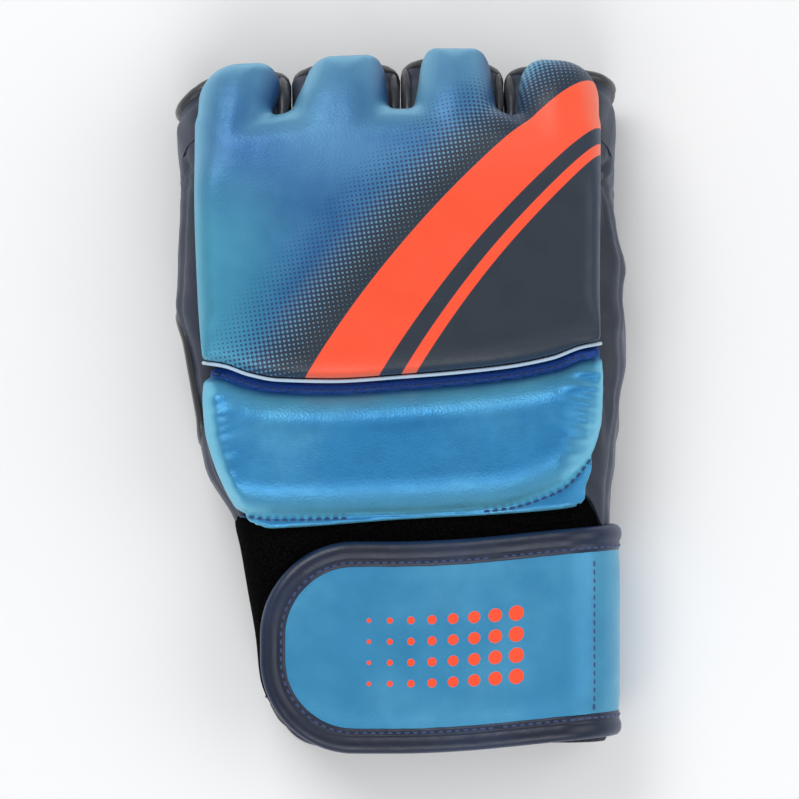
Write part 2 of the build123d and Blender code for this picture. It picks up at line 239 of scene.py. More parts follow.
def tube(name, path, radius, material, sides=12, closed=False, flat=1.0, up=(0, 0, 1)):
    """A round or flattened bar along a path, with domed ends unless it is closed."""
    n, dome_rings = len(path), 3
    if closed:
        ahead = np.roll(path, -1, 0) - np.roll(path, 1, 0)
    else:
        ahead = np.gradient(path, axis=0)
    ahead /= np.linalg.norm(ahead, axis=1, keepdims=True)
    across = np.cross(ahead, np.broadcast_to(np.asarray(up, float), path.shape))
    across /= np.maximum(np.linalg.norm(across, axis=1, keepdims=True), 1e-9)
    over = np.cross(across, ahead)
    radius = np.broadcast_to(np.asarray(radius, float), (n,)).copy()
    if not closed:
        for i in range(min(dome_rings, n // 2)):
            share = math.sqrt(1 - (1 - (i + 0.35) / dome_rings) ** 2)
            radius[[i, -1 - i]] *= share
    angle = np.arange(sides) / sides * 2 * math.pi
    cosine, sine = np.cos(angle)[None, :, None], np.sin(angle)[None, :, None]
    ring = cosine * across[:, None] + flat * sine * over[:, None]
    points = (path[:, None] + radius[:, None, None] * ring).reshape(-1, 3)
    if closed:
        faces = [tuple(i % (n * sides) for i in f) for f in grid_faces(n + 1, sides, True)]
    else:
        faces = grid_faces(n, sides, True) + end_caps(n, sides)
    return make_mesh(name, points, [f[::-1] for f in faces], material)


def resample(path, spacing, closed=False):
    """Points at even spacing along a path."""
    if closed:
        path = np.vstack([path, path[:1]])
    length = np.concatenate([[0], np.cumsum(np.linalg.norm(np.diff(path, axis=0), axis=1))])
    count = max(2, int(round(length[-1] / spacing)) + 1)
    at = np.linspace(0, length[-1], count)
    points = np.stack([np.interp(at, length, path[:, k]) for k in range(3)], 1)
    return points[:-1] if closed else points


STITCH_RADIUS, STITCH_LENGTH, STITCH_LIFT = 0.30, 1.75, 0.12
# the path of a row is walked in small steps, and a stitch comes after every few of them
STITCH_STEP, STITCH_EVERY = 0.3, 8


def stitches(name, path, normal, material, keep=None):
    """A row of sewn threads along a path: each one a small rounded bar lying on the surface."""
    dense = resample(path, STITCH_STEP)
    normal = np.broadcast_to(np.asarray(normal, float), path.shape)
    source = np.linspace(0, 1, len(path))
    target = np.linspace(0, 1, len(dense))
    normals = np.stack([np.interp(target, source, normal[:, k]) for k in range(3)], 1)
    half = STITCH_EVERY // 2
    rows, sides = (-1.0, -0.82, -0.4, 0.4, 0.82, 1.0), 6
    points, faces = [], []
    for i in range(half, len(dense) - half, STITCH_EVERY):
        centre, up = dense[i], normals[i] / np.linalg.norm(normals[i])
        if keep is not None and not keep(centre):
            continue
        ahead = dense[min(i + 2, len(dense) - 1)] - dense[max(i - 2, 0)]
        ahead /= max(np.linalg.norm(ahead), 1e-9)
        across = np.cross(ahead, up)
        start = len(points)
        for t in rows:
            r = STITCH_RADIUS * math.sqrt(max(1 - abs(t) ** 3, 0.06))
            sunk = STITCH_LIFT * (1 - 1.6 * t * t)
            for s in range(sides):
                a = s / sides * 2 * math.pi
                offset = across * math.cos(a) * r + up * (math.sin(a) * r * 0.8 + sunk)
                points.append(centre + ahead * t * STITCH_LENGTH / 2 + offset)
        faces += grid_faces(len(rows), sides, True, start) + end_caps(len(rows), sides, start)
    return make_mesh(name, points, [f[::-1] for f in faces], material)


def thicken(piece, thickness):
    """Gives a sheet its thickness, on its inner side."""
    modifier = piece.modifiers.new("thick", "SOLIDIFY")
    modifier.thickness = thickness * MM
    modifier.offset = -1.0
    modifier.use_even_offset = True
    apply_modifiers(piece)


def cut(piece, cutters):
    for cutter in cutters:
        modifier = piece.modifiers.new("hole", "BOOLEAN")
        modifier.operation = "DIFFERENCE"
        modifier.solver = "EXACT"
        modifier.object = cutter
    apply_modifiers(piece)


def apply_modifiers(piece):
    """Makes the modified mesh the piece's own, with its sharp edges marked."""
    graph = bpy.context.evaluated_depsgraph_get()
    mesh = bpy.data.meshes.new_from_object(piece.evaluated_get(graph))
    piece.modifiers.clear()
    piece.data = mesh
    mesh.set_sharp_from_angle(angle=math.radians(50))


def place(piece, body, slot, replaced=(), padded=None):
    """Puts a piece on its body and hides the CAD nodes that it stands for; its material slot is not used."""
    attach(piece, body)
    finish_piece(piece, slot, replaced, padded)


def finish_piece(piece, slot, replaced=(), padded=None):
    """Hides the CAD nodes that a piece stands for, as place does, for a piece that is put on no body."""
    if replaced:
        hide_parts(*replaced)


# ---------------------------------------------------------------- materials


class Nodes:
    """Short names for building a material's nodes."""

    def __init__(self, name):
        self.material = bpy.data.materials.new(name)
        self.material.use_nodes = True
        self.tree = self.material.node_tree
        self.shader = self.tree.nodes["Principled BSDF"]

    def add(self, kind, **values):
        node = self.tree.nodes.new(kind)
        for key, value in values.items():
            setattr(node, key, value)
        return node

    def link(self, source, target):
        self.tree.links.new(source, target)

    def feed(self, socket, value):
        """Gives a socket a colour, a number or another node's output."""
        if isinstance(value, tuple):
            socket.default_value = (*value, 1)
        elif isinstance(value, (int, float)):
            socket.default_value = value
        else:
            self.link(value, socket)

    def math(self, operation, *values, clamp=False):
        node = self.add("ShaderNodeMath", operation=operation, use_clamp=clamp)
        for socket, value in zip(node.inputs, values):
            self.feed(socket, value)
        return node.outputs[0]

    def plus(self, a, b, clamp=False):
        return self.math("ADD", a, b, clamp=clamp)

    def times(self, a, b):
        return self.math("MULTIPLY", a, b)

    def mix(self, factor, a, b):
        node = self.add("ShaderNodeMix", data_type="RGBA")
        for index, value in zip((0, 6, 7), (factor, a, b)):
            self.feed(node.inputs[index], value)
        return node.outputs[2]

    def span(self, value, low, high, to_low=0.0, to_high=1.0):
        """Eases from one value to another while the input goes from low to high."""
        node = self.add("ShaderNodeMapRange", interpolation_type="SMOOTHSTEP")
        self.link(value, node.inputs[0])
        for index, number in zip((1, 2, 3, 4), (low, high, to_low, to_high)):
            node.inputs[index].default_value = number
        return node.outputs[0]

    def place(self):
        """The point's own place on its piece, in metres."""
        return self.add("ShaderNodeTexCoord").outputs["Object"]

    def texture(self, kind, **values):
        node = self.add(kind)
        for key, value in values.items():
            node.inputs[key].default_value = value
        self.link(self.place(), node.inputs["Vector"])
        return node.outputs[0]

    def noise(self, scale, detail=3.0, roughness=0.5):
        return self.texture("ShaderNodeTexNoise", Scale=scale, Detail=detail, Roughness=roughness)

    def cells(self, scale):
        return self.texture("ShaderNodeTexVoronoi", Scale=scale)

    def axes(self, vector):
        parts = self.add("ShaderNodeSeparateXYZ")
        self.link(vector, parts.inputs[0])
        return parts.outputs

    def flat_mm(self):
        """The piece's two flat coordinates, in millimetres."""
        flat = self.add("ShaderNodeUVMap", uv_map="flat").outputs[0]
        return [self.times(part, 1 / MM) for part in self.axes(flat)[:2]]

    def facing(self, blend):
        """0 where the surface faces the eye, and 1 where it turns away."""
        node = self.add("ShaderNodeLayerWeight")
        node.inputs["Blend"].default_value = blend
        return node.outputs["Facing"]

    def shade(self):
        return self.add("ShaderNodeAttribute", attribute_name="shade").outputs["Fac"]

    def sheen_and_clouds(self, facing, edge_sheen, size, start, most):
        """How pale the leather is: a painted sheen that grows where it turns away from the eye, and paler
        soft clouds of its own uneven tone.
        """
        cloud = self.span(self.noise(size, 4, 0.6), start, 0.75, 0, most)
        # the share that grows with facing is painted sheen; the clouds are the leather's own tone
        return self.plus(self.times(facing, edge_sheen), cloud, clamp=True)

    def bump(self, *layers):
        """Each layer is a height and its depth in millimetres; the last one is on top."""
        normal = None
        for height, depth in layers:
            node = self.add("ShaderNodeBump")
            node.inputs["Distance"].default_value = depth * MM
            node.inputs["Strength"].default_value = 1.0
            self.link(height, node.inputs["Height"])
            if normal is not None:
                self.link(normal, node.inputs["Normal"])
            normal = node.outputs[0]
        self.link(normal, self.shader.inputs["Normal"])

    def set(self, **values):
        for name, value in values.items():
            self.shader.inputs[name.replace("_", " ")].default_value = value

    def colour(self, source):
        self.link(source, self.shader.inputs["Base Color"])

    def roughness(self, low, high):
        """Uneven between two values."""
        self.link(self.span(self.noise(90, 5, 0.65), 0.3, 0.7, low, high), self.shader.inputs["Roughness"])

    def metallic(self, painted, most):
        """The leather's metal sheen, which paint hides."""
        self.link(self.span(painted, 0, 1, most, 0.0), self.shader.inputs["Metallic"])


def srgb(r, g, b):
    return tuple(((c / 255 + 0.055) / 1.055) ** 2.4 if c > 10 else c / 255 / 12.92 for c in (r, g, b))


PEARL_BLUE = srgb(18, 90, 148)
# the pale pearl of the pad's painted sheen where it turns away, and of its paler clouds
PEARL_SHEEN_AND_CLOUD = srgb(116, 180, 212)
# the cyan of a painted reflection on the pad's upper left
PEARL_REFLECTION = srgb(78, 172, 196)
# the deep blue of painted shade in the roll's recess below the seam
PEARL_SHADE = srgb(0, 60, 142)
NAVY_DOT = srgb(0, 62, 114)
# the deep blue of painted shade on the lobes' walls that face right
SIDE_SHADE_BLUE = srgb(4, 58, 118)
NAVY_PRINT = srgb(18, 34, 49)
# the navy print's painted sheen where it turns away
NAVY_SHEEN = srgb(66, 82, 110)
HALFTONE_LIGHT = srgb(104, 146, 174)
ORANGE = srgb(255, 76, 34)
# the orange paint's painted sheen where it turns away
ORANGE_SHEEN = srgb(255, 160, 130)


def grain(n, depth, size=1500.0):
    """Fine leather grain: small rounded cells under a softer unevenness."""
    pebbles = n.math("POWER", n.cells(size), 0.8)
    return (n.noise(380, 3, 0.55), depth * 1.1), (pebbles, depth)


def leather(name, base, light, roughness=0.45, metallic=0.0, depth=0.05, coat=0.0, shade_colour=None, edge_sheen=0.8):
    """Coated leather: a painted sheen makes it lighter where it turns away, and painted shade makes it deeper
    where the shade attribute says.
    """
    n = Nodes(name)
    # painted sheen: lighter towards grazing angles
    colour = n.mix(n.sheen_and_clouds(n.facing(0.5), edge_sheen, 28, 0.4, 0.3), base, light)
    # painted shade: the colour given for shade, where the shade attribute is set
    if shade_colour:
        colour = n.mix(n.shade(), colour, shade_colour)
    n.colour(colour)
    n.roughness(roughness - 0.07, roughness + 0.09)
    n.bump(*grain(n, depth))
    n.set(Metallic=metallic, Coat_Weight=coat, Coat_Roughness=0.35)
    return n.material


# The print, in flat millimetres: the tilt of the halftone's rows, and the sash and the accent line as spans
# along the slant.
HALFTONE_PITCH, HALFTONE_TILT = 1.28, math.radians(8.5)
SASH_SLANT = (0.755, -0.656)
FADE_FROM, FADE_TO = -60.0, -24.0
SASH = (-28.6, -13.0)
ACCENT = (-8.4, -5.4)


def printed_leather():
    """Pearl blue that fades through a halftone into navy, with one broad sash and a thin line; with painted
    sheen where it turns away, a painted reflection on its upper left, and painted shade on the lobes' walls
    that face right.
    """
    n = Nodes("printed_pearl_leather")
    u, v = n.flat_mm()
    wander = n.times(n.math("SUBTRACT", n.noise(14, 1), 0.5), 1.6)
    bow = n.times(n.math("POWER", n.times(n.math("SUBTRACT", v, 45.0), 0.05), 2), -1.1)
    slant = n.plus(n.times(u, SASH_SLANT[0]), n.times(v, SASH_SLANT[1]))
    slant = n.plus(slant, n.plus(wander, bow))
    fade = n.span(slant, FADE_FROM, FADE_TO)
    wave = []
    for turn in (HALFTONE_TILT, HALFTONE_TILT + math.pi / 2):
        along = n.plus(n.times(u, math.cos(turn)), n.times(v, math.sin(turn)))
        wave.append(n.math("COSINE", n.times(along, 2 * math.pi / HALFTONE_PITCH)))
    dots = n.times(n.plus(wave[0], wave[1]), 0.25)
    dots = n.plus(dots, 0.5)
    ink = n.span(n.plus(dots, n.times(fade, 1.08)), 0.98, 1.10)
    facing = n.facing(0.55)
    # painted sheen: the pearl pales strongly where it turns away, besides its own paler clouds
    blue = n.mix(n.sheen_and_clouds(facing, 1.5, 24, 0.35, 0.25), PEARL_BLUE, PEARL_SHEEN_AND_CLOUD)
    # painted reflection: a cyan patch on the upper left of the pad
    reflection_patch = n.times(n.span(u, -58, -20, 0.6, 0), n.span(v, 40, 74, 1, 0))
    blue = n.mix(reflection_patch, blue, PEARL_REFLECTION)
    # painted shade on the lobes' walls that face right, where the shade attribute is set
    blue = n.mix(n.times(n.shade(), 0.85), blue, SIDE_SHADE_BLUE)
    pale = n.mix(n.span(slant, -46, -36), blue, HALFTONE_LIGHT)
    dot = n.mix(n.span(slant, -52, -32), NAVY_DOT, NAVY_PRINT)
    # painted sheen: the navy pales where it turns away
    navy = n.mix(n.times(facing, 0.7), dot, NAVY_SHEEN)
    colour = n.mix(ink, pale, navy)

    def band(*sides):
        after = [n.span(slant, side - 0.12, side + 0.12) for side in sides]
        return n.math("SUBTRACT", *after, clamp=True)

    painted = n.plus(band(*SASH), band(*ACCENT), clamp=True)
    # painted sheen: the orange pales where it turns away
    warm = n.mix(n.times(facing, 0.6), ORANGE, ORANGE_SHEEN)
    n.colour(n.mix(painted, colour, warm))
    n.metallic(n.math("MAXIMUM", ink, painted), 0.42)
    n.roughness(0.40, 0.54)
    n.bump(*grain(n, 0.045), (painted, 0.05))
    n.set(Coat_Weight=0.12, Coat_Roughness=0.4)
    return n.material


# the strap's patch of dots: their pitch, its two spans, and how their size grows from column to column
DOT_PITCH = 6.0
DOT_ACROSS = (-12.0, 36.0)
DOT_UP = (-84.0, -60.0)
DOT_FIRST, DOT_GROWTH = 0.18, 0.036


def strap_leather():
    """Smooth pearl leather with painted sheen where it turns away, and a plain patch of graded dots in paint.
    """
    n = Nodes("strap_pearl_leather")
    u, v = n.flat_mm()
    # painted sheen: the blue pales where it turns away, besides its own paler clouds
    blue = n.mix(n.sheen_and_clouds(n.facing(0.4), 0.7, 26, 0.4, 0.28), srgb(46, 134, 180), srgb(108, 190, 222))
    cell = [n.math("SUBTRACT", n.math("FRACT", n.math("DIVIDE", c, DOT_PITCH)), 0.5) for c in (u, v)]
    away = n.math("SQRT", n.plus(n.math("POWER", cell[0], 2), n.math("POWER", cell[1], 2)))
    column = n.math("FLOOR", n.math("DIVIDE", u, DOT_PITCH))
    size = n.plus(n.times(column, DOT_GROWTH), DOT_FIRST)
    dot = n.span(n.math("SUBTRACT", away, size), -0.012, 0.012, 1, 0)
    for value, low, high in ((u, *DOT_ACROSS), (v, *DOT_UP)):
        dot = n.times(dot, n.math("GREATER_THAN", value, low))
        dot = n.times(dot, n.math("LESS_THAN", value, high))
    n.colour(n.mix(dot, blue, ORANGE))
    n.metallic(dot, 0.35)
    n.roughness(0.36, 0.5)
    n.bump(*grain(n, 0.03), (dot, 0.06))
    n.set(Coat_Weight=0.15, Coat_Roughness=0.35)
    return n.material


def pile(name, dark, tip, scale, depth):
    """Brushed cloth: dense small tufts, matt."""
    n = Nodes(name)
    tufts = n.cells(scale)
    fluff = n.noise(scale * 1.7, 6, 0.75)
    height = n.plus(n.times(tufts, -0.7), fluff)
    n.colour(n.mix(n.span(height, 0.1, 0.55), dark, tip))
    n.bump((n.noise(120, 3, 0.5), depth), (height, depth))
    n.set(Roughness=0.97, Specular_IOR_Level=0.04)
    return n.material


def woven(name, base, light, count=1500.0, depth=0.08):
    """Plain-woven tape or cloth: two crossing sets of threads."""
    n = Nodes(name)
    along = [n.math("SINE", n.times(c, count * 2)) for c in n.axes(n.place())]
    height = n.times(n.plus(along[0], along[1]), n.plus(along[2], 1.5))
    n.colour(n.mix(n.span(height, -2.5, 2.5), base, light))
    n.bump((n.noise(200, 3), depth), (height, depth * 0.3))
    n.set(Roughness=0.85, Sheen_Weight=0.1)
    return n.material


def hook_plastic():
    """Rows of small moulded hooks."""
    n = Nodes("hook_tape")
    rows = [n.math("SINE", n.times(c, 4200)) for c in n.axes(n.place())[:2]]
    height = n.times(rows[0], rows[1])
    n.colour(n.mix(n.span(height, -0.2, 0.8), (0.006, 0.006, 0.007), (0.035, 0.035, 0.04)))
    n.bump((height, 0.4))
    n.set(Roughness=0.5)
    return n.material


def thread(name, colour, light):
    """Twisted sewing thread."""
    n = Nodes(name)
    x, y, z = n.axes(n.place())
    diagonal = n.plus(n.plus(x, y), z)
    twist = n.math("SINE", n.times(diagonal, 14000))
    n.colour(n.mix(n.span(twist, -1, 1), colour, light))
    n.bump((twist, 0.05))
    n.set(Roughness=0.6, Sheen_Weight=0.2)
    return n.material


MAT = {
    "print": printed_leather(),
    # the roll pales strongly where it turns away (painted sheen) and turns deep blue in its recess (painted
    # shade)
    "roll": leather(
        "roll_pearl_leather", srgb(34, 124, 180), srgb(112, 198, 228), 0.40, 0.5,
        coat=0.08, shade_colour=PEARL_SHADE, edge_sheen=1.7,
    ),
    "strap": strap_leather(),
    "navy": leather("navy_leather", srgb(20, 27, 42), srgb(70, 80, 102), 0.5, coat=0.1),
    # black_leather: its dark grey base and its paler grazing colour paint highlights on the rolled edges
    "black": leather("black_leather", srgb(36, 36, 39), srgb(84, 85, 90), 0.34, depth=0.03, coat=0.35),
    "palm": leather("palm_leather", srgb(26, 30, 42), srgb(70, 76, 92), 0.55, depth=0.07),
    "binding": leather("binding_leather", srgb(5, 18, 42), srgb(36, 58, 94), 0.38, depth=0.02, coat=0.08),
    # the seam cord is there, and its pale whitish colour also paints the highlight along the pad's seam edge
    "piping": leather("piping_leather", srgb(176, 200, 222), srgb(214, 228, 240), 0.5, depth=0.02),
    "suede": pile("palm_suede", (0.02, 0.023, 0.033), (0.06, 0.065, 0.08), 1400, 0.15),
    "pile": pile("loop_pile", (0.0010, 0.0010, 0.0009), (0.006, 0.006, 0.0056), 1300, 0.3),
    "tape": woven("edge_tape", (0.008, 0.01, 0.016), (0.03, 0.034, 0.05)),
    "lining": woven("knit_lining", (0.012, 0.012, 0.014), (0.04, 0.04, 0.045), 900, 0.12),
    "hooks": hook_plastic(),
    "thread": thread("navy_thread", srgb(24, 44, 96), srgb(70, 96, 150)),
    "dark_thread": thread("dark_thread", srgb(22, 26, 38), srgb(70, 78, 96)),
}

# ---------------------------------------------------------------- main pad and its lobes

# the seam between the pad and the roll: y over x
SEAM = curve_through((
    (-57, 11.4), (-50, 10.3), (-43, 7.9), (-35, 6.4), (-20, 6.0),
    (0, 7.2), (28, 9.8), (43, 12.6), (51, 15.6), (58, 17),
))
PAD_LEFT_EDGE = curve_through(((0, -55.6), (11, -56.2), (28, -57.6), (60, -58.6), (90, -58.6)))
PAD_RIGHT_EDGE = curve_through(((0, 57.0), (30, 56.6), (60, 56.8), (90, 57.2)))
# each lobe: its sides behind the web, its sides at the tip, the tip, its two corners, and the tip's slant
LOBES = {
    "index": ((-58.6, -39.2), (-57.2, -33.2), 104.6, (11.0, 7.5), 0.05),
    "middle": ((-34.2, -3.0), (-25.6, -4.2), 107.6, (7.0, 6.0), 0.06),
    "ring": ((2.8, 28.2), (5.9, 25.6), 110.8, (4.2, 5.2), 0.0),
    "little": ((32.6, 57.4), (34.4, 57.0), 106.0, (7.0, 11.5), -0.06),
}
LOBE_BASE = WEB_V - 8
# how far past the hinge line the web between the lobes lies, and the lobes are cut off, and the span named
# for a bend, though nothing here bends them
WEB_LINE = curve_through((
    (-60, 2.4), (-39, 2.6), (-30, 4.0), (-3, 5.0), (4, 5.0), (27, 4.4), (34, 2.4), (60, 2.0),
))
LOBE_CUT = 5.9
BEND_FROM, BEND_TO = LOBE_CUT + 0.2, LOBE_CUT + 13.2
WEB_FILLET, PAD_SIDE_ROUND, PAD_SEAM_ROUND, PAD_UNDER_ROUND = 3.2, 2.0, 1.2, 2.0
PAD_DEPTH = 14.6
PAD_CELL, ROLL_CELL = 1.1, 0.9


def lobe_sides(v, name):
    """The left and right side of a lobe at v."""
    (left0, right0), (left1, right1), tip = LOBES[name][:3]
    t = (v - LOBE_BASE) / (tip - LOBE_BASE)
    return left0 + (left1 - left0) * t, right0 + (right1 - right0) * t


def lobe_distance(u, v, name):
    """Distance outside a lobe's outline: a slanted rounded box."""
    _, _, tip, corners, slant = LOBES[name]
    left, right = lobe_sides(v, name)
    centre, half = (left + right) / 2, (right - left) / 2
    corner = np.where(u < centre, *corners)
    across = np.abs(u - centre) - half + corner
    along = v - tip - slant * (u - centre) + corner
    outside = np.hypot(np.maximum(across, 0), np.maximum(along, 0))
    return outside + np.minimum(np.maximum(across, along), 0) - corner


def smooth_min(a, b, k):
    """The lesser of two, rounded over where they are within k of each other."""
    h = np.clip(0.5 + 0.5 * (b - a) / k, 0, 1)
    return b * (1 - h) + a * h - k * h * (1 - h)


def smooth_max(a, b, k):
    return -smooth_min(-a, -b, k)


def level_gap(curve, x, y):
    """About the distance that y lies above a curve of x."""
    slope = curve(x + 0.5) - curve(x - 0.5)
    return (y - curve(x)) / np.sqrt(1 + slope**2)


def rounded_edge(plan, top, radius):
    """Distance outside a body whose top edge, between its plan and its top, has a radius."""
    a, b = plan + radius, top + radius
    return np.hypot(np.maximum(a, 0), np.maximum(b, 0)) + np.minimum(np.maximum(a, b), 0) - radius


def pad_outline(u, v):
    """Distance outside the plan of the pad with its four lobes, in flat coordinates."""
    body = v - WEB_V - WEB_LINE(u)
    for name in FINGERS:
        body = smooth_min(body, lobe_distance(u, v, name), WEB_FILLET)
    sides = np.maximum(PAD_LEFT_EDGE(v) - u, u - PAD_RIGHT_EDGE(v))
    return smooth_max(smooth_max(body, sides, PAD_SIDE_ROUND), -level_gap(SEAM, u, v), PAD_SEAM_ROUND)


def pad_crown(u, v):
    """How far the pad's skin lies above or below the flat: it falls off to the sides and round the lobes."""
    fall = -1.0 * (np.abs(u) / 58) ** 2.5
    seam_dip = -1.2 * (1 - smooth(v - SEAM(u), 0, 11)) ** 2
    lobe_puff = 0.7 * smooth(v, WEB_V - 2, WEB_V + 10)
    inside = -pad_outline(u, v)
    dome = -2.4 * (1 - smooth(inside, 0, 13)) ** 1.4 * smooth(v, WEB_V - 26, WEB_V - 6)
    return fall + seam_dip + lobe_puff + dome


def toe_pull(u, v, w):
    """How far a lobe's toe is pulled back below its skin, so that it rests on the sleeve's rim."""
    middle_two = smooth(u, -32, -29) * (1 - smooth(u, 28, 31))
    slope = 0.4 + 0.45 * middle_two
    return slope * np.clip(-w - 3.5, 0, 6.5) * smooth(v, WEB_V + 7, WEB_V + 15)


def pad_field(p):
    """Distance outside the flat pad: its top edge is rounder away from the seam and the right side."""
    u, v, w = p.T
    near_seam = 1 - smooth(v - SEAM(u), 3, 14)
    right_edge = smooth(u, 44, 54) * (1 - smooth(v, WEB_V - 6, WEB_V + 4))
    radius = 6.6 - 3.6 * near_seam - 1.8 * right_edge
    rounded = rounded_edge(pad_outline(u, v + toe_pull(u, v, w)), w - pad_crown(u, v), radius)
    return smooth_max(rounded, -PAD_DEPTH - w, PAD_UNDER_ROUND)


def build_pad():
    """The printed knuckle pad: one skin, cut at the web into the pad and four lobes."""
    points, faces = surface_net(pad_field, (-62, 2, -17), (61, 114, 2.5), PAD_CELL)
    shaped = bend(points)
    normals = vertex_normals(shaped, faces)
    # painted shade: the walls of the index, middle and ring lobes that face right, past the web, get the
    # shade attribute that darkens the print there
    facing_right = smooth(normals[:, 0] / np.linalg.norm(normals, axis=1), 0.3, 0.95)
    shade = facing_right * smooth(points[:, 1], WEB_V, WEB_V + 7) * (points[:, 0] < 40)
    u, v, _ = points[faces].mean(1).T
    passed = sum(u > (lobe_sides(v, a)[1] + lobe_sides(v, b)[0]) / 2 for a, b in zip(FINGERS, FINGERS[1:]))
    which = np.where(v > WEB_V + LOBE_CUT, passed, -1)
    base = np.array([0, HINGE_Y, HINGE_Z])
    along = np.array([0, math.cos(WEB_ANGLE), -math.sin(WEB_ANGLE)])
    start, end = ((base + along * past) * MM for past in (BEND_FROM, BEND_TO))
    for index, name in enumerate(("back", *FINGERS), start=-1):
        chosen = faces[which == index]
        used, compact = np.unique(chosen, return_inverse=True)
        looks = MAT["print"], points[used, :2], normals[used], shade[used]
        piece = make_mesh(f"{name}_pad", shaped[used], compact.reshape(-1, 4), *looks)
        nodes = (f"{name}_pad_cover", f"{name}_pad_foam")
        if name == "back":
            place(piece, "hand", "printed_leather", nodes, 0.85)
            continue
        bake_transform(piece)
        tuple(start)
        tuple(end)
        finish_piece(piece, "printed_leather", nodes, 0.8)


build_pad()

# ---------------------------------------------------------------- wrist roll and its piping

ROLL_BOTTOM = curve_through((
    (-60, -37.6), (-44, -37.2), (-28, -36.4), (0, -34.3), (28, -32.8), (43, -31.6), (60, -29.4),
))
BULGE_BOTTOM = curve_through((
    (-60, -31.4), (-46, -32.4), (-36, -33.6), (0, -32.6), (28, -30.8), (45, -25.6), (53, -18), (60, -4),
))
ROLL_LEFT_EDGE = curve_through((
    (-38, -44.4), (-31, -47.6), (-17, -53.6), (-8, -55.8), (2, -56.4), (20, -56.0),
))
ROLL_RIGHT_EDGE = curve_through(((-38, 56.0), (-13, 56.4), (-5, 57.4), (6, 57.6), (20, 56.8)))
RECESS = 4.8
FLANGE_HIGH_Z, FLANGE_LOW_Z = 38.4, 35.2
BULGE_RISE, BULGE_ROUND = 8.0, 11.5


def roll_height(x, y):
    """Height of the roll's leather: a flat flange with one long stuffed bulge on it."""
    flange = FLANGE_LOW_Z + (FLANGE_HIGH_Z - FLANGE_LOW_Z) * smooth(y, -38, 4)
    flange = flange - 2.2 * smooth(np.abs(x), 46, 60)
    inside_top = -level_gap(SEAM, x, y) - RECESS
    inside_low = level_gap(BULGE_BOTTOM, x, y)
    inside = smooth_min(inside_top, inside_low, 2.5)
    t = 1 - np.clip(inside / BULGE_ROUND, 0, 1)
    bulge = BULGE_RISE * np.maximum(1 - t**2.4, 0) ** 0.75
    on_bulge = np.clip(inside / 3, 0, 1)
    right_end = smooth(x, 44, 55)
    pucker = 0.7 * right_end * np.cos(2 * math.pi * (y + 0.12 * x) / 4.7) * on_bulge
    left_end = smooth(-x, 44, 53)
    crease = 0.35 * left_end * np.cos(2 * math.pi * (y - 0.3 * x) / 5.5) * on_bulge
    groove = -0.5 * np.exp(-((inside_low / 0.9) ** 2)) - 0.5 * np.exp(-(((inside_top - 0.2) / 0.9) ** 2))
    return flange + bulge * (1 - 0.12 * right_end) + pucker + crease + groove


def roll_field(p):
    """Distance outside the roll: its left end is rounder than its right."""
    x, y, z = p.T
    top = -level_gap(SEAM, x, y) - 1.0
    low = level_gap(ROLL_BOTTOM, x, y)
    sides = np.minimum(x - ROLL_LEFT_EDGE(y), ROLL_RIGHT_EDGE(y) - x)
    plan = -smooth_min(np.minimum(top, low), sides, 2.0)
    near_side = 1 - smooth(sides, 0, 9)
    radius = 1.3 + near_side * (1.4 + 4.6 * smooth(-x, 0, 20))
    rounded = rounded_edge(plan, z - roll_height(x, y), radius)
    under = 33.3 + 1.1 * smooth(y, -33, -24)
    return smooth_max(rounded, under - z, 1.0)


def height_normals(points, height):
    """Normals of a surface that is a height over x and y."""
    x, y = points[:, 0], points[:, 1]
    dx = (height(x + 0.3, y) - height(x - 0.3, y)) / 0.6
    dy = (height(x, y + 0.3) - height(x, y - 0.3)) / 0.6
    normal = np.stack([-dx, -dy, np.ones_like(dx)], 1)
    return normal / np.linalg.norm(normal, axis=1, keepdims=True)


def build_roll():
    points, faces = surface_net(roll_field, (-60, -41, 31), (61, 20, 49), ROLL_CELL)
    normals = vertex_normals(points, faces)
    # painted shade: the shade attribute is 1 in the recess just below the seam and fades out onto the bulge
    below_seam = -level_gap(SEAM, points[:, 0], points[:, 1])
    shade = 1 - smooth(below_seam, RECESS - 1.2, RECESS + 2.2)
    roll = make_mesh("wrist_roll", points, faces, MAT["roll"], points[:, :2], normals, shade)
    place(roll, "hand", "roll_leather", ("wrist_roll_cover", "wrist_roll_foam"), 0.9)
    sew_roll("recess", -53.5, lambda x: SEAM(x) - RECESS + 1.3)
    # the middle of the lower row lies hidden in the fold below the bulge
    sew_roll("lower", -46.0, lambda x: BULGE_BOTTOM(x) - 0.9, lambda point: not -16 < point[0] < 24)


def sew_roll(name, left, line, keep=None):
    """A row of stitches on the roll along a line, from its left end."""
    x = np.linspace(left, 54.5, 200)
    y = line(x)
    path = np.stack([x, y, roll_height(x, y)], 1)
    sewn = stitches(f"roll_stitches_{name}", path, height_normals(path, roll_height), MAT["thread"], keep)
    place(sewn, "hand", "piping")


PIPING_RADIUS, PIPING_Z = 0.52, 42.8


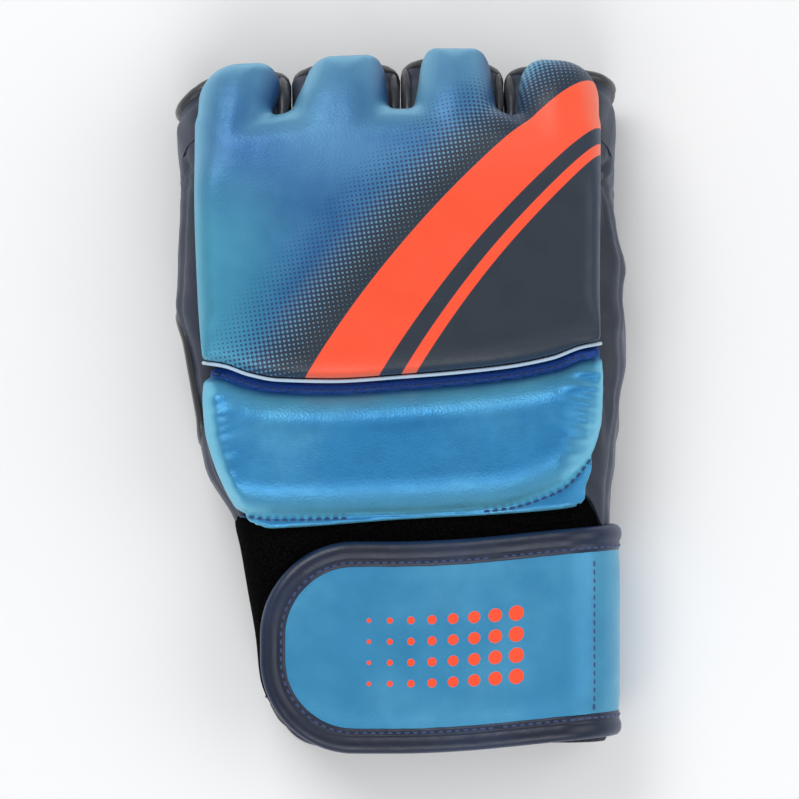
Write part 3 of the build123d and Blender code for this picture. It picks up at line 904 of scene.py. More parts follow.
def build_piping():
    """The cord in the seam, which turns down into the glove at both ends."""
    left, right, turn = -56.0, 56.9, 4.5
    x = np.linspace(left + turn, right - turn, 130)
    z = np.full_like(x, PIPING_Z)
    angle = np.linspace(0, math.pi / 2, 8)[1:]
    corner_x, corner_z = turn * np.sin(angle), turn * (1 - np.cos(angle))
    down = np.array([7.0, 9.5])
    ends = [left, left], left + turn - corner_x[::-1], right - turn + corner_x, [right, right]
    x = np.concatenate([*ends[:2], x, *ends[2:]])
    drop = np.concatenate([corner_z, down])
    z = np.concatenate([PIPING_Z - drop[::-1], z, PIPING_Z - drop])
    path = resample(np.stack([x, SEAM(x) - 0.9, z], 1), 0.8)
    # the cord's pale colour also paints the highlight along the seam edge
    cord = tube("seam_cord", path, PIPING_RADIUS, MAT["piping"], sides=12, up=(0, 1, 0))
    place(cord, "hand", "piping", ("seam_piping",))


build_roll()
build_piping()

# ---------------------------------------------------------------- leather round the hand

CUFF_TOP = box_mm("cuff_band")[1][2]
CUFF_BOTTOM = box_mm("cuff_band")[0][2]
CUFF_RIGHT = box_mm("cuff_band")[1][0]
SHELL_LEFT = curve_through((
    (-40, -46.2), (-34, -48.0), (-20, -55.8), (-8, -58.0), (6, -59.4),
    (28, -64.4), (45, -63.6), (64, -62.6), (78, -63.6),
))
SHELL_RIGHT = curve_through((
    (-40, 60.0), (-34, 60.4), (-20, 61.4), (0, 63.4), (20, 64.8),
    (36, 64.6), (54, 61.6), (64, 60.8), (78, 61.8),
))
SHELL_LOW = curve_through(((-40, 4.2), (-34, 3.6), (-22, 1.3), (0, 1.2), (78, 1.2)))
SHELL_HIGH = curve_through((
    (-40, 32.2), (-34, 32.6), (-20, 34.0), (0, 34.5), (58, 34.5), (70, 32.4), (78, 30.2),
))
SHELL_CORNER = 12.6
SEAM_ANGLE = math.radians(27)
SHELL_FROM, SHELL_STRAIGHT_TO = -36.5, 26.0
# how far the back panel's rear edge runs forward under the roll
BACK_TUCK = 9.5
SEAM_SINK = 0.55
SHELL_ROWS = 62


def ring_columns(flat, arc, side):
    """Columns round a rounded ring from its lower left: the shares of each half side, and the angle there."""
    corners = np.array([(-1, -1), (1, -1), (1, 1), (-1, 1)])
    quarter = math.pi / 2
    columns = []
    for index, count in enumerate((flat, side, flat, side)):
        here, after = corners[index], corners[(index + 1) % 4]
        angle = (index - 1) * quarter
        columns += [(*(here + (after - here) * k / count), angle) for k in range(count)]
        columns += [(*after, angle + quarter * k / arc) for k in range(arc)]
    return np.array(columns)


def ring_at(columns, left, right, low, high, corner):
    """Points (x, z) and outward normals of a rounded ring; the sizes may differ for each column."""
    across, up, angle = columns.T
    corner = np.minimum(corner, np.minimum(right - left, high - low) / 2 - 0.01)
    x = (left + right) / 2 + across * ((right - left) / 2 - corner) + corner * np.cos(angle)
    z = (low + high) / 2 + up * ((high - low) / 2 - corner) + corner * np.sin(angle)
    return x, z, np.cos(angle), np.sin(angle)


def front_limit(z):
    """How far forward the hand's leather reaches: back to the relief that bent fingers sweep."""
    return HINGE_Y - np.maximum(HINGE_Z - z, 0) * math.tan(RELIEF)


def hand_ring(columns, y, inset):
    """One ring of the hand's leather."""
    sizes = SHELL_LEFT(y) + inset, SHELL_RIGHT(y) - inset, SHELL_LOW(y) + inset, SHELL_HIGH(y) - inset
    return ring_at(columns, *(size * np.ones(len(columns)) for size in sizes), SHELL_CORNER - inset)


def seam_distance(columns, corner):
    """Distance round the ring from the nearest seam between the side and the back or the palm."""
    lean = np.minimum(np.abs(np.sin(columns[:, 2])), 1.0)
    return (np.arcsin(lean) - SEAM_ANGLE) * corner + np.where(lean > 0.999, 12.0, 0)


def hand_folds(ring, nx, angle):
    """How far the leather stands out in folds along its sides, bunched up behind the knuckles, with one long
    crease down the little-finger side."""
    x, y, z = ring.T
    side = np.abs(nx) * smooth(np.abs(nx), 0.2, 0.9)
    fold = ripple(ring * np.array([0.3, 1.0, 0.8]), 11.0, 3.1) * (0.9 + 0.6 * smooth(x, 0, 40)) * side
    fold += ripple(ring, 5.0, 7.7) * 0.25
    fold += 0.65 * side * np.exp(-(((y - 68) / 7) ** 2)) * np.cos((y + 0.35 * z) * 2 * math.pi / 4.6)
    wander = 0.85 + 0.22 * np.sin(y / 15)
    crease = -1.1 * np.exp(-(((angle - wander) / 0.17) ** 2)) * smooth(x, 20, 40)
    return fold + crease * (0.6 + 0.5 * np.sin(y / 9 + 1))


def hand_surface(inset, columns, wrinkle=1.0):
    """Rings from the cuff to the slanted front edge, with folds and sunk seams where wrinkle isn't 0."""
    seam = -SEAM_SINK * np.exp(-((seam_distance(columns, SHELL_CORNER) / 1.1) ** 2))
    rings = []
    for y in SHELL_FROM + (HINGE_Y - SHELL_FROM) * (np.arange(SHELL_ROWS) / (SHELL_ROWS - 1)):
        x, z, nx, nz = hand_ring(columns, y, inset)
        past = np.clip((y - SHELL_STRAIGHT_TO) / (HINGE_Y - SHELL_STRAIGHT_TO), 0, 1)
        slanted = SHELL_STRAIGHT_TO + (front_limit(z) - SHELL_STRAIGHT_TO) * past
        ring = np.stack([x, slanted if past > 0 else y + 0 * x, z], 1)
        fade = smooth(y, SHELL_FROM, SHELL_FROM + 8) * (1 - smooth(past, 0.85, 1.0))
        out = wrinkle * (hand_folds(ring, nx, columns[:, 2]) * fade + seam)
        ring[:, 1] += BACK_TUCK * smooth(nz, 0.55, 0.95) * (1 - smooth(y, SHELL_FROM, SHELL_FROM + 24))
        rings.append(ring + np.stack([nx, 0 * nx, nz], 1) * out[:, None])
    return np.array(rings)


def split_columns(columns):
    """Which panel each strip between two columns belongs to."""
    middle = (np.sin(columns[:, 2]) + np.sin(np.roll(columns[:, 2], -1))) / 2
    seam = math.sin(SEAM_ANGLE)
    return np.where(middle > seam, "back", np.where(middle < -seam, "palm", "side"))


def grid_piece(name, grid, material, keep=None):
    """A sheet that faces out, from a closed grid, with all its strips or only those that keep marks."""
    rows, columns = grid.shape[:2]
    faces = np.array([f for f in grid_faces(rows, columns, True) if keep is None or keep[f[0] % columns]])
    points = grid.reshape(-1, 3)
    outward = points - np.array([grid[..., 0].mean(), 0, grid[..., 2].mean()]) * np.array([1, 0, 1])
    outward[:, 1] = 0
    if (vertex_normals(points, faces) * outward).sum() < 0:
        faces = faces[:, ::-1]
    used, compact = np.unique(faces, return_inverse=True)
    return make_mesh(name, points[used], compact.reshape(-1, 4), material)


def prism(name, outline, low, high, axis):
    """A straight-sided cutter: an outline of two coordinates pushed along one axis."""
    count = len(outline)
    ends = []
    for level in (low, high):
        for a, b in outline:
            ends.append((level, a, b) if axis == "x" else (a, b, level))
    faces = [tuple(range(count)), tuple(range(count, 2 * count))[::-1]]
    faces += [(i, count + i, count + (i + 1) % count, (i + 1) % count) for i in range(count)]
    cutter = make_mesh(name, ends, faces, MAT["tape"])
    shape = bmesh.new()
    shape.from_mesh(cutter.data)
    bmesh.ops.recalc_face_normals(shape, faces=shape.faces)
    shape.to_mesh(cutter.data)
    shape.free()
    return cutter


def rounded_outline(width, depth, corner, centre):
    """Points round a rectangle with round corners."""
    points, steps = [], 10
    for sx, sy, start in ((1, 1, 0), (-1, 1, 90), (-1, -1, 180), (1, -1, 270)):
        for k in range(steps + 1):
            a = math.radians(start + 90 * k / steps)
            x = sx * (width / 2 - corner) + corner * math.cos(a)
            y = sy * (depth / 2 - corner) + corner * math.sin(a)
            points.append((centre[0] + x, centre[1] + y))
    return points


PALM_LOW, PALM_HIGH = box_mm("palm_opening_binding")
THUMB_LOW, THUMB_HIGH = box_mm("thumb_opening_binding")
BINDING = 3.0
PALM_HOLE = (PALM_HIGH - PALM_LOW - 2 * BINDING)[:2]
PALM_CENTRE = ((PALM_LOW + PALM_HIGH) / 2)[:2]
THUMB_HOLE = (THUMB_HIGH - THUMB_LOW - 2 * BINDING)[1:]
THUMB_CENTRE = ((THUMB_LOW + THUMB_HIGH) / 2)[1:]
PALM_OUTLINE = rounded_outline(*PALM_HOLE, 12.0, PALM_CENTRE)
THUMB_OUTLINE = rounded_outline(*THUMB_HOLE, 7.0, THUMB_CENTRE)
SHELL_WALL, LINING = 1.4, 0.8


def build_shell():
    """The hand's four leather panels and its lining, with the palm and thumb openings cut through them."""
    columns = ring_columns(46, 22, 6)
    outside = hand_surface(0.0, columns)
    strip = split_columns(columns)
    right = columns[:, 0] + 0.001 * np.cos(columns[:, 2]) > 0
    panels = {
        "backing_panel": (strip == "back", "navy"),
        "palm_panel": (strip == "palm", "palm"),
        "little_side_gusset": ((strip == "side") & right, "navy"),
        "thumb_side_gusset": ((strip == "side") & ~right, "navy"),
    }
    cutters = [
        prism("palm_cutter", PALM_OUTLINE, -10, 8, "z"),
        prism("thumb_cutter", THUMB_OUTLINE, -80, -20, "x"),
    ]
    for node, (keep, skin) in panels.items():
        piece = grid_piece(f"{node}_leather", outside, MAT[skin], keep)
        thicken(piece, SHELL_WALL)
        if node in ("palm_panel", "thumb_side_gusset"):
            cut(piece, cutters)
        place(piece, "hand", f"{skin}_leather", (node,))
    inside = hand_surface(SHELL_WALL + 0.1, columns, wrinkle=0.0)
    lining = grid_piece("knit_hand_lining", inside, MAT["lining"])
    thicken(lining, LINING)
    cut(lining, cutters)
    place(lining, "hand", "lining", ("hand_lining",))
    for cutter in cutters:
        bpy.data.objects.remove(cutter)
    seam_stitches(outside, columns)
    bind_openings()


def seam_stitches(grid, columns):
    """Top-stitching beside each of the palm's side seams."""
    distance = np.abs(seam_distance(columns, SHELL_CORNER) - 2.0)
    for name, across in (("right_palm", 1), ("left_palm", -1)):
        here = (columns[:, 0] * across > 0.99) & (np.sin(columns[:, 2]) < 0)
        column = np.argmin(np.where(here, distance, 99))
        path = grid[4:-3, column]
        normal = (math.cos(columns[column, 2]), 0, math.sin(columns[column, 2]))
        sewn = stitches(f"gusset_stitches_{name}", path, normal, MAT["dark_thread"])
        place(sewn, "hand", "navy_leather")


def bind_openings():
    """A rolled leather edge round each opening, with the palm's stitches and patch."""
    palm = [(x, y, 1.2) for x, y in PALM_OUTLINE]
    thumb = [(on_side(y, z, -1) + 0.8, y, z) for y, z in THUMB_OUTLINE]
    for opening, edge, radius, flat, up in (
        ("palm", palm, 1.75, 0.68, (0, 0, 1)),
        ("thumb", thumb, 1.9, 0.8, (1, 0, 0)),
    ):
        path = resample(np.array(edge), 1.2, True)
        ring = tube(f"{opening}_opening_roll", path, radius, MAT["black"], closed=True, flat=flat, up=up)
        place(ring, "hand", "edge_tape", (f"{opening}_opening_binding",))
    around = rounded_outline(*(PALM_HOLE + 9), 16.5, PALM_CENTRE)
    sew_under("palm_opening_stitches", around, 1.0, MAT["dark_thread"], "edge_tape")
    build_palm_patch()


def sew_under(name, outline, z, material, slot):
    """A closed row of stitches on the glove's underside."""
    path = np.array([(x, y, z) for x, y in outline + outline[:1]])
    place(stitches(name, path, (0, 0, -1), material), "hand", slot)


def on_side(y, z, side):
    """x of the hand's leather at a height on the thumb side (-1) or the little-finger side (1)."""
    edge = SHELL_LEFT(y) if side < 0 else SHELL_RIGHT(y)
    low, high = SHELL_LOW(y), SHELL_HIGH(y)
    dip = max(low + SHELL_CORNER - z, z - high + SHELL_CORNER, 0)
    return float(edge - side * (SHELL_CORNER - math.sqrt(max(SHELL_CORNER**2 - dip**2, 0))))


def patch_plan(node):
    """The width and depth of a patch, and its centre."""
    low, high = box_mm(node)
    return (high - low)[:2], ((low + high) / 2)[:2]


def patch(name, node, levels, corner, sharpen, material, slot):
    """A flat piece of cloth with round corners, from rings of (inset, height) that go up or down."""
    size, centre = patch_plan(node)
    rings = []
    for inset, z in levels:
        outline = rounded_outline(*(size - 2 * inset), max(corner - inset * sharpen, 1.5), centre)
        rings.append([(x, y, z) for x, y in outline])
    grid = np.array(rings)
    faces = grid_faces(*grid.shape[:2], True) + end_caps(*grid.shape[:2])
    if levels[-1][1] < levels[0][1]:
        faces = [f[::-1] for f in faces]
    place(make_mesh(name, grid.reshape(-1, 3), faces, material), "hand", slot, (node,))


def build_palm_patch():
    levels = ((0.0, 1.25), (0.0, 0.7), (0.5, 0.25), (1.6, 0.12), (2.6, 0.25), (4.0, 0.05), (7.0, 0.0))
    patch("palm_grip_patch", "palm_patch", levels, 6.0, 0.6, MAT["suede"], "palm_suede")
    size, centre = patch_plan("palm_patch")
    edge = rounded_outline(*(size - 4.2), 4.6, centre)
    sew_under("palm_patch_stitches", edge, 0.18, MAT["thread"], "palm_suede")


build_shell()

# ---------------------------------------------------------------- finger sleeves


SLEEVE_HEIGHT, SLEEVE_LENGTH, SLEEVE_TILT = 22.0, 16.0, math.radians(20)
SLEEVE_CORNER, SLEEVE_WALL, SLEEVE_ROWS = 9.0, 1.2, 22
RIM_RADIUS = 1.75
THUMB_SIDE_SETBACK = 4.5
# beside its neighbour each sleeve's skin stands in from the CAD sleeve by the first of these (here it stands
# out), and the middle of its rolled edge by the second and a half millimetre more
SKIN_GAP, ROLL_GAP = -0.64, 0.8
# how much farther forward each rim's upper half stands, at its left and its right side
RIM_REACH = {"index": (-2.0, 2.5), "middle": (3.0, 4.0), "ring": (5.5, 4.0), "little": (3.5, 0.8)}


def rim_ring(name, columns, grow=0.0, forward=0.0, gap=SKIN_GAP):
    """The sleeve's open front: a rounded ring across the finger, set back at the hand's thumb edge."""
    low, high = box_mm(f"{name}_sleeve")
    left = low[0] + (gap if name != "index" else 0)
    right = high[0] - (gap if name != "little" else 0)
    half = SLEEVE_HEIGHT / 2 + grow
    x, up, nx, nu = ring_at(columns, left - grow, right + grow, -half, half, SLEEVE_CORNER + grow)
    reach = np.interp(x, (left, right), RIM_REACH[name]) * smooth(up, -9, 3)
    along = SLEEVE_LENGTH + forward + reach
    lean_y, lean_z = math.sin(SLEEVE_TILT), math.cos(SLEEVE_TILT)
    y = HINGE_Y + along * lean_z + (up - SLEEVE_HEIGHT / 2) * lean_y
    y = y - THUMB_SIDE_SETBACK * smooth(-x, 52, 66)
    z = HINGE_Z - along * lean_y + (up - SLEEVE_HEIGHT / 2) * lean_z
    return np.stack([x, y, z], 1), np.stack([nx, nu * lean_y, nu * lean_z], 1)


def sleeve_surface(name, columns):
    """Skin from the hand's slanted front edge to the round front rim of one finger."""
    (left, _, _), (right, _, _) = box_mm(f"{name}_sleeve")
    x, z, _, _ = ring_at(columns, left, right, 1.2, HINGE_Z + 0.3, 2.0)
    y = front_limit(z)
    # an outer side follows the hand's own side
    side = {"index": -1, "little": 1}.get(name, 0)
    if side:
        for k in range(len(columns)):
            edge = on_side(min(y[k], 77.0), float(np.clip(z[k], 1.25, 29)), side)
            x[k] = side * min(side * x[k], side * edge) if side * columns[k, 0] < 0.999 else edge
    start = np.stack([x, y, z], 1)
    end, outward = rim_ring(name, columns)
    # the skin never puffs out sideways into a neighbour
    outward[:, 0] = np.clip(outward[:, 0], -1.0 * (side < 0), 1.0 * (side > 0))
    grid = []
    for i in range(SLEEVE_ROWS):
        s = i / (SLEEVE_ROWS - 1)
        ring = start * (1 - s) + end * s
        puff = 1.1 * math.sin(math.pi * s)
        fold = 0.35 * math.sin(math.pi * s) * ripple(ring * np.array([1, 0.7, 1]), 6.5, 5.0)
        crease = -0.5 * math.exp(-(((s - 0.82) / 0.07) ** 2))
        grid.append(ring + outward * (puff + fold + crease)[:, None])
    return np.array(grid)


def build_sleeves():
    columns = ring_columns(16, 8, 10)
    surfaces = {name: sleeve_surface(name, columns) for name in FINGERS}
    for name, surface in surfaces.items():
        skin = grid_piece(f"{name}_sleeve_leather", surface, MAT["navy"])
        thicken(skin, SLEEVE_WALL)
        bend_sleeve(skin, name)
        finish_piece(skin, "navy_leather", (f"{name}_sleeve",))
        ring, _ = rim_ring(name, columns, -0.5, 0.6, ROLL_GAP)
        path = resample(ring, 1.0, True)
        roll = tube(f"{name}_rolled_rim", path, RIM_RADIUS, MAT["black"], closed=True, sides=14)
        wrinkle_tube(roll, 0.14, 2.2)
        place(roll, name, "rolled_edge", (f"{name}_rim",))
    build_side_rolls(surfaces)


def bend_sleeve(piece, finger):
    """Bakes the piece's place into its mesh; the finger is not used."""
    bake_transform(piece)


# the sleeves' rolled side edges between the lobes: finger, side, radius at the back and towards the rim
SIDE_ROLLS = (
    ("index", "right", 1.5, 2.3),
    ("middle", "right", 1.4, 1.75),
    ("ring", "left", 1.4, 1.75),
    ("ring", "right", 1.1, 1.4),
    ("little", "left", 1.4, 1.75),
)


def side_roll_path(surface, side, radius):
    """Along the sleeve's upper corner, from under the web to the rim."""
    way = 1 if side == "right" else -1
    rim = surface[-1]
    edge, top = (way * rim[:, 0]).max(), rim[:, 2].max()
    from_corner = (way * rim[:, 0] - edge + 1.8) ** 2 + (rim[:, 2] - top + 3.6) ** 2
    path = surface[int(0.2 * SLEEVE_ROWS) :, np.argmin(from_corner)].copy()
    t = np.linspace(0, 1, len(path))
    path[:, 0] = way * (edge - radius - 0.15) + 0.2 * np.sin(5 * t)
    path[:, 2] += 0.9 - 0.7 * smooth(t, 0.7, 1)
    return path


def build_side_rolls(surfaces):
    """The side rolls grow from the back towards the rim and taper a little as they run into it."""
    for finger, side, thin, thick in SIDE_ROLLS:
        path = side_roll_path(surfaces[finger], side, thick)
        t = np.linspace(0, 1, len(path))
        radius = (thin + (thick - thin) * smooth(t, 0, 0.6)) * (1 - 0.3 * smooth(t, 0.75, 1))
        roll = tube(f"{finger}_side_roll_{side}", path, radius, MAT["black"], sides=16)
        wrinkle_tube(roll, 0.16, 2.6)
        bend_sleeve(roll, finger)
        finish_piece(roll, "rolled_edge")


def wrinkle_tube(piece, depth, scale):
    """Small puckers round a rolled edge."""
    mesh = piece.data
    for v in mesh.vertices:
        p = v.co / MM
        v.co += v.normal * depth * MM * (noise.noise(p / scale) + 0.6 * noise.noise(p / scale * 2.1))


build_sleeves()

# ---------------------------------------------------------------- cuff

CUFF_LEFT = curve_through((
    (-100, -33.4), (-96, -35.6), (-92, -38.6), (-86, -40.4), (-73, -41.8),
    (-59, -43.9), (-44, -46.1), (-36, -47.6), (-28, -48),
))
CUFF_CORNER, CUFF_WALL = 12.5, 3.0
CUFF_HIGH_Y, CUFF_LOW_Y, HEM_WIDTH = -33.5, -98.0, 4.2
SLIT_X, SLIT_WIDTH = -20.0, 3.0


def cuff_low(x):
    """The cuff's lower edge: it turns up towards the thumb side."""
    return CUFF_LOW_Y + 7.5 * smooth(-x, 24, 40)


def cuff_surface(columns, inset, rows, from_share, to_share, bulge=0.0):
    """Rings of the cuff between two shares of its length; bulge rounds them out."""
    grid = []
    for i in range(rows):
        s = from_share + (to_share - from_share) * i / (rows - 1)
        y = CUFF_HIGH_Y + (CUFF_LOW_Y - CUFF_HIGH_Y) * s
        sizes = CUFF_LEFT(y) + inset, CUFF_RIGHT - inset, CUFF_BOTTOM + inset, CUFF_TOP - inset
        x, z, nx, nz = ring_at(columns, *sizes, CUFF_CORNER - inset)
        high = CUFF_HIGH_Y + 5.0 * smooth(nz, 0.55, 0.95)
        ring = np.stack([x, high + (cuff_low(x) - high) * s, z], 1)
        wave = 0.35 * ripple(ring * np.array([1, 0.5, 1]), 14.0, 2.0) * smooth(np.abs(nx), 0.3, 1.0)
        round_edge = bulge * math.sin(math.pi * i / (rows - 1)) ** 0.5 if rows > 2 else 0
        grid.append(ring + np.stack([nx, 0 * nx, nz], 1) * (wave + round_edge)[:, None])
    return np.array(grid)


def slit_columns(columns, left, right):
    """The strips of the cuff that the palm-side slit leaves."""
    x = (left + right) / 2 + columns[:, 0] * ((right - left) / 2 - CUFF_CORNER)
    flat = (columns[:, 1] < 0) & (np.abs(columns[:, 0]) < 0.999)
    ahead = np.roll(x, -1)
    from_left, to_right = SLIT_X - SLIT_WIDTH / 2, SLIT_X + SLIT_WIDTH / 2
    return ~(flat & (np.minimum(x, ahead) < to_right) & (np.maximum(x, ahead) > from_left))


def build_cuff():
    """The stretch band with its folded hem, a row of stitches above the hem, and the loop patch."""
    columns = ring_columns(60, 16, 4)
    keep = slit_columns(columns, -44.0, CUFF_RIGHT)
    hem_share = 1 - HEM_WIDTH / (CUFF_HIGH_Y - CUFF_LOW_Y)
    cloth = cuff_surface(columns, 0, 40, 0.0, hem_share)
    band = grid_piece("stretch_cuff", cloth, MAT["pile"], keep)
    thicken(band, CUFF_WALL)
    place(band, "hand", "loop_cloth", ("cuff_band",))
    fold = cuff_surface(columns, -0.1, 8, hem_share, 1.0, 0.5)
    hem = grid_piece("cuff_folded_hem", fold, MAT["tape"], keep)
    thicken(hem, CUFF_WALL + 0.2)
    place(hem, "hand", "cuff_hem", ("cuff_hem",))
    path = cuff_surface(columns, -0.05, 2, hem_share - 0.025, hem_share)[0]
    chosen = [k for k in range(len(columns)) if keep[k]]
    start = next(k for k in chosen if not keep[k - 1])
    order = [(start + k) % len(columns) for k in range(len(chosen))]
    normal = np.stack([np.cos(columns[:, 2]), 0 * columns[:, 2], np.sin(columns[:, 2])], 1)
    sewn = stitches("hem_stitches", path[order], normal[order], MAT["dark_thread"])
    place(sewn, "hand", "cuff_hem")
    build_loop_patch()


def build_loop_patch():
    """The brushed loop patch on the back of the cuff, which the strap's hooks close on."""
    low, high = (corner[2] for corner in box_mm("loop_patch"))
    levels = ((0.0, low), (0.0, high - 0.35), (0.4, high - 0.08), (1.2, high - 0.2), (2.4, high))
    patch("brushed_loop_patch", "loop_patch", levels, 5.0, 0.5, MAT["pile"], "loop_patch")


build_cuff()

# ---------------------------------------------------------------- wrist strap

# The strap is a band measured along its own length s, from where it is sewn on under the palm,
# round the little-finger side and back over the cuff to its free round tip.
STRAP_LOW, STRAP_HIGH = box_mm("strap_tip_binding")[0][1], box_mm("strap_tip_binding")[1][1]
STRAP_TIP = box_mm("strap_tip_binding")[0][0]
STRAP_FROM = box_mm("strap_under_binding")[0][0]
STRAP_MIDDLE = (STRAP_LOW + STRAP_HIGH) / 2
TIP_RADIUS = 27.0
ANCHOR_RADIUS = 14.0
TURN_AT = CUFF_RIGHT - CUFF_CORNER
NEUTRAL = CUFF_CORNER + 2.8
UNDER_LENGTH = TURN_AT - STRAP_FROM
ARC_LENGTH = NEUTRAL * math.pi / 2
SIDE_LENGTH = CUFF_TOP - CUFF_BOTTOM - 2 * CUFF_CORNER
S_SIDE = UNDER_LENGTH + ARC_LENGTH
S_TOP = S_SIDE + SIDE_LENGTH + ARC_LENGTH
S_END = S_TOP + TURN_AT - STRAP_TIP
S_MID_TURN = S_SIDE + SIDE_LENGTH / 2
S_MID_PANEL = S_TOP + TURN_AT - 27.0
S_TURN_ROW, TURN_ROW_INSET = S_TOP - 8.6, 7.9
RISE_AT_SIDE = 4.6
PRESSED_FLAT = 0.55


def strap_point(s, y, h):
    """A point of the strap: s along it, y across it, h out from the cuff."""
    s, y, h = np.broadcast_arrays(np.asarray(s, float), np.asarray(y, float), np.asarray(h, float))
    pressed = 1 - smooth(s, UNDER_LENGTH - 8, UNDER_LENGTH + 10)
    h = h - PRESSED_FLAT * smooth(h, 2.5, 4.0) * pressed
    a = np.clip((s - UNDER_LENGTH) / NEUTRAL, 0, math.pi / 2)
    b = np.clip((s - S_SIDE - SIDE_LENGTH) / NEUTRAL, 0, math.pi / 2)
    radius = CUFF_CORNER + h
    side = np.clip(s - S_SIDE, 0, SIDE_LENGTH)
    x = TURN_AT - np.maximum(UNDER_LENGTH - s, 0) + radius * np.sin(a) * np.cos(b)
    x = x - np.maximum(s - S_TOP, 0)
    z = CUFF_BOTTOM + CUFF_CORNER - radius * np.cos(a) + side + radius * np.sin(b)
    return np.stack([x, y + RISE_AT_SIDE * rise_share(s), z], -1)


def rise_share(s):
    """The strap climbs a little towards the little-finger side, and comes back under the palm."""
    over = 1 - smooth(s, S_SIDE + SIDE_LENGTH + 4, S_TOP + 52)
    under = smooth(s, 20, UNDER_LENGTH + 8)
    return over**1.3 * under


def strap_normal(s):
    """Out from the cuff, at s along the strap."""
    a = np.clip((s - UNDER_LENGTH) / NEUTRAL, 0, math.pi / 2) - math.pi / 2
    b = np.clip((s - S_SIDE - SIDE_LENGTH) / NEUTRAL, 0, math.pi / 2)
    return np.stack([np.cos(a + b), 0 * s, np.sin(a + b)], -1)


def strap_half(s, inset=0.0):
    """Half the strap's width at s, inside an inset edge: it ends in a round tip."""
    width = (STRAP_HIGH - STRAP_LOW) / 2 - inset
    half = width
    for radius, away in ((TIP_RADIUS - inset, S_END - inset - s), (ANCHOR_RADIUS - inset, s - inset)):
        away = np.clip(away, 0, radius)
        half = np.minimum(half, width - radius + np.sqrt(np.maximum(radius**2 - (radius - away) ** 2, 0)))
    return half


def strap_outline(inset, s0, s1):
    """Points (s, y) along the strap's edge at an inset: out along the low edge, round the tip and back."""
    half = (STRAP_HIGH - STRAP_LOW) / 2 - inset
    if s0 > 0 and s1 < S_END - 1:
        run = np.linspace(s0, s1, max(int((s1 - s0) / 1.3), 2))
        return [np.stack([run, np.full_like(run, STRAP_MIDDLE + side * half)], 1) for side in (-1, 1)]
    way = 1 if s0 > 0 else -1
    radius = (TIP_RADIUS if way > 0 else ANCHOR_RADIUS) - inset
    end, far = (S_END - inset, s0) if way > 0 else (inset, s1)
    centre = end - way * radius
    run = np.linspace(far, centre, int(abs(far - centre) / 1.3))[:-1]
    angle = np.linspace(-math.pi / 2, 0, 26)
    edge = STRAP_MIDDLE - half
    corner = [centre + way * radius * np.cos(angle), edge + radius + radius * np.sin(angle)]
    low = np.vstack([np.stack([run, np.full_like(run, edge)], 1), np.stack(corner, 1)])
    high = low[::-1] * np.array([1, -1]) + np.array([0, 2 * STRAP_MIDDLE])
    return [np.vstack([low, high])]


# the folded band's cross-section: how far in from the strap's edge, and how far out from the cuff
BINDING_SECTION = (
    (7.4, 3.75), (7.1, 4.1), (6.2, 4.3), (5.3, 4.28), (4.9, 4.12), (4.5, 4.34), (3.4, 4.75), (2.2, 4.8),
    (1.1, 4.5), (0.3, 3.8), (0.0, 2.9), (0.3, 2.0), (1.2, 1.35), (3.0, 1.15), (6.2, 1.2), (7.3, 1.5),
)


def strap_binding(name, s0, s1):
    """The folded band round the strap's edge, with a fuller roll at the rim and a sewn-down hem."""
    points, faces, sides = [], [], len(BINDING_SECTION)
    heights = np.array([h for _, h in BINDING_SECTION])
    for part, rings in enumerate(zip(*(strap_outline(inset, s0, s1) for inset, _ in BINDING_SECTION))):
        s, y = np.moveaxis(np.stack(rings, 1), -1, 0)
        grid = strap_point(s, y, heights[None, :])
        start = sum(len(p) for p in points)
        points.append(np.concatenate([grid.reshape(-1, 3), grid[0], grid[-1]]))
        new = grid_faces(len(grid), sides, True, start) + end_caps(2, sides, start + grid[..., 0].size)
        flip = part == 1 or s0 <= 0
        faces += [f[::-1] for f in new] if flip else new
    points = np.vstack(points)
    uneven = ripple(points * np.array([1, 1, 0.6]), 3.0, 9.0) * 0.12
    points[:, 2] += uneven * smooth(points[:, 2], 30, 34)
    return make_mesh(name, points, faces, MAT["binding"])


def strap_sheet(name, s0, s1, inset, height, thickness, material, puff=0.0):
    """A ply of the strap between two places along it; its height is of its outer face."""
    eased = 9 * (1 - np.sin(np.linspace(0, math.pi / 2, 12)))
    first, last = max(s0, inset), min(s1, S_END - inset)
    run = np.linspace(first, last, int((last - first) / 1.8))
    if s0 <= 0:
        run = np.concatenate([(inset + eased)[::-1], run[run > inset + 10]])
    if s1 >= S_END - 1:
        run = np.concatenate([run[run < last - 10], last - eased])
    share = np.linspace(-1, 1, 34)
    s = np.repeat(run[:, None], len(share), 1)
    half = strap_half(s, inset)
    y = STRAP_MIDDLE + share[None, :] * half
    edge = np.minimum(half - np.abs(share) * half, np.minimum(S_END - inset - s, s - inset))
    h = height + puff * smooth(edge, 0, 6)
    if puff:
        uneven = ripple(np.stack([s, y, 0 * s], -1).reshape(-1, 3), 17.0, 4.0).reshape(s.shape)
        h = h + 0.16 * uneven * smooth(edge, 0, 6)
    points = strap_point(s, y, h).reshape(-1, 3)
    flat = np.stack([TURN_AT - (s - S_TOP), y], -1).reshape(-1, 2)
    piece = make_mesh(name, points, grid_faces(len(run), len(share)), material, flat)
    thicken(piece, thickness)
    return piece


def strap_stitches(name, s0, s1, inset, height):
    """The rows along the strap's edges between two places: one row if it goes round an end, or else two."""
    for side, outline in zip(("low", "high"), strap_outline(inset, s0, s1)):
        path = strap_point(outline[:, 0], outline[:, 1], height)
        yield stitches(f"{name}_{side}", path, strap_normal(outline[:, 0]), MAT["thread"])


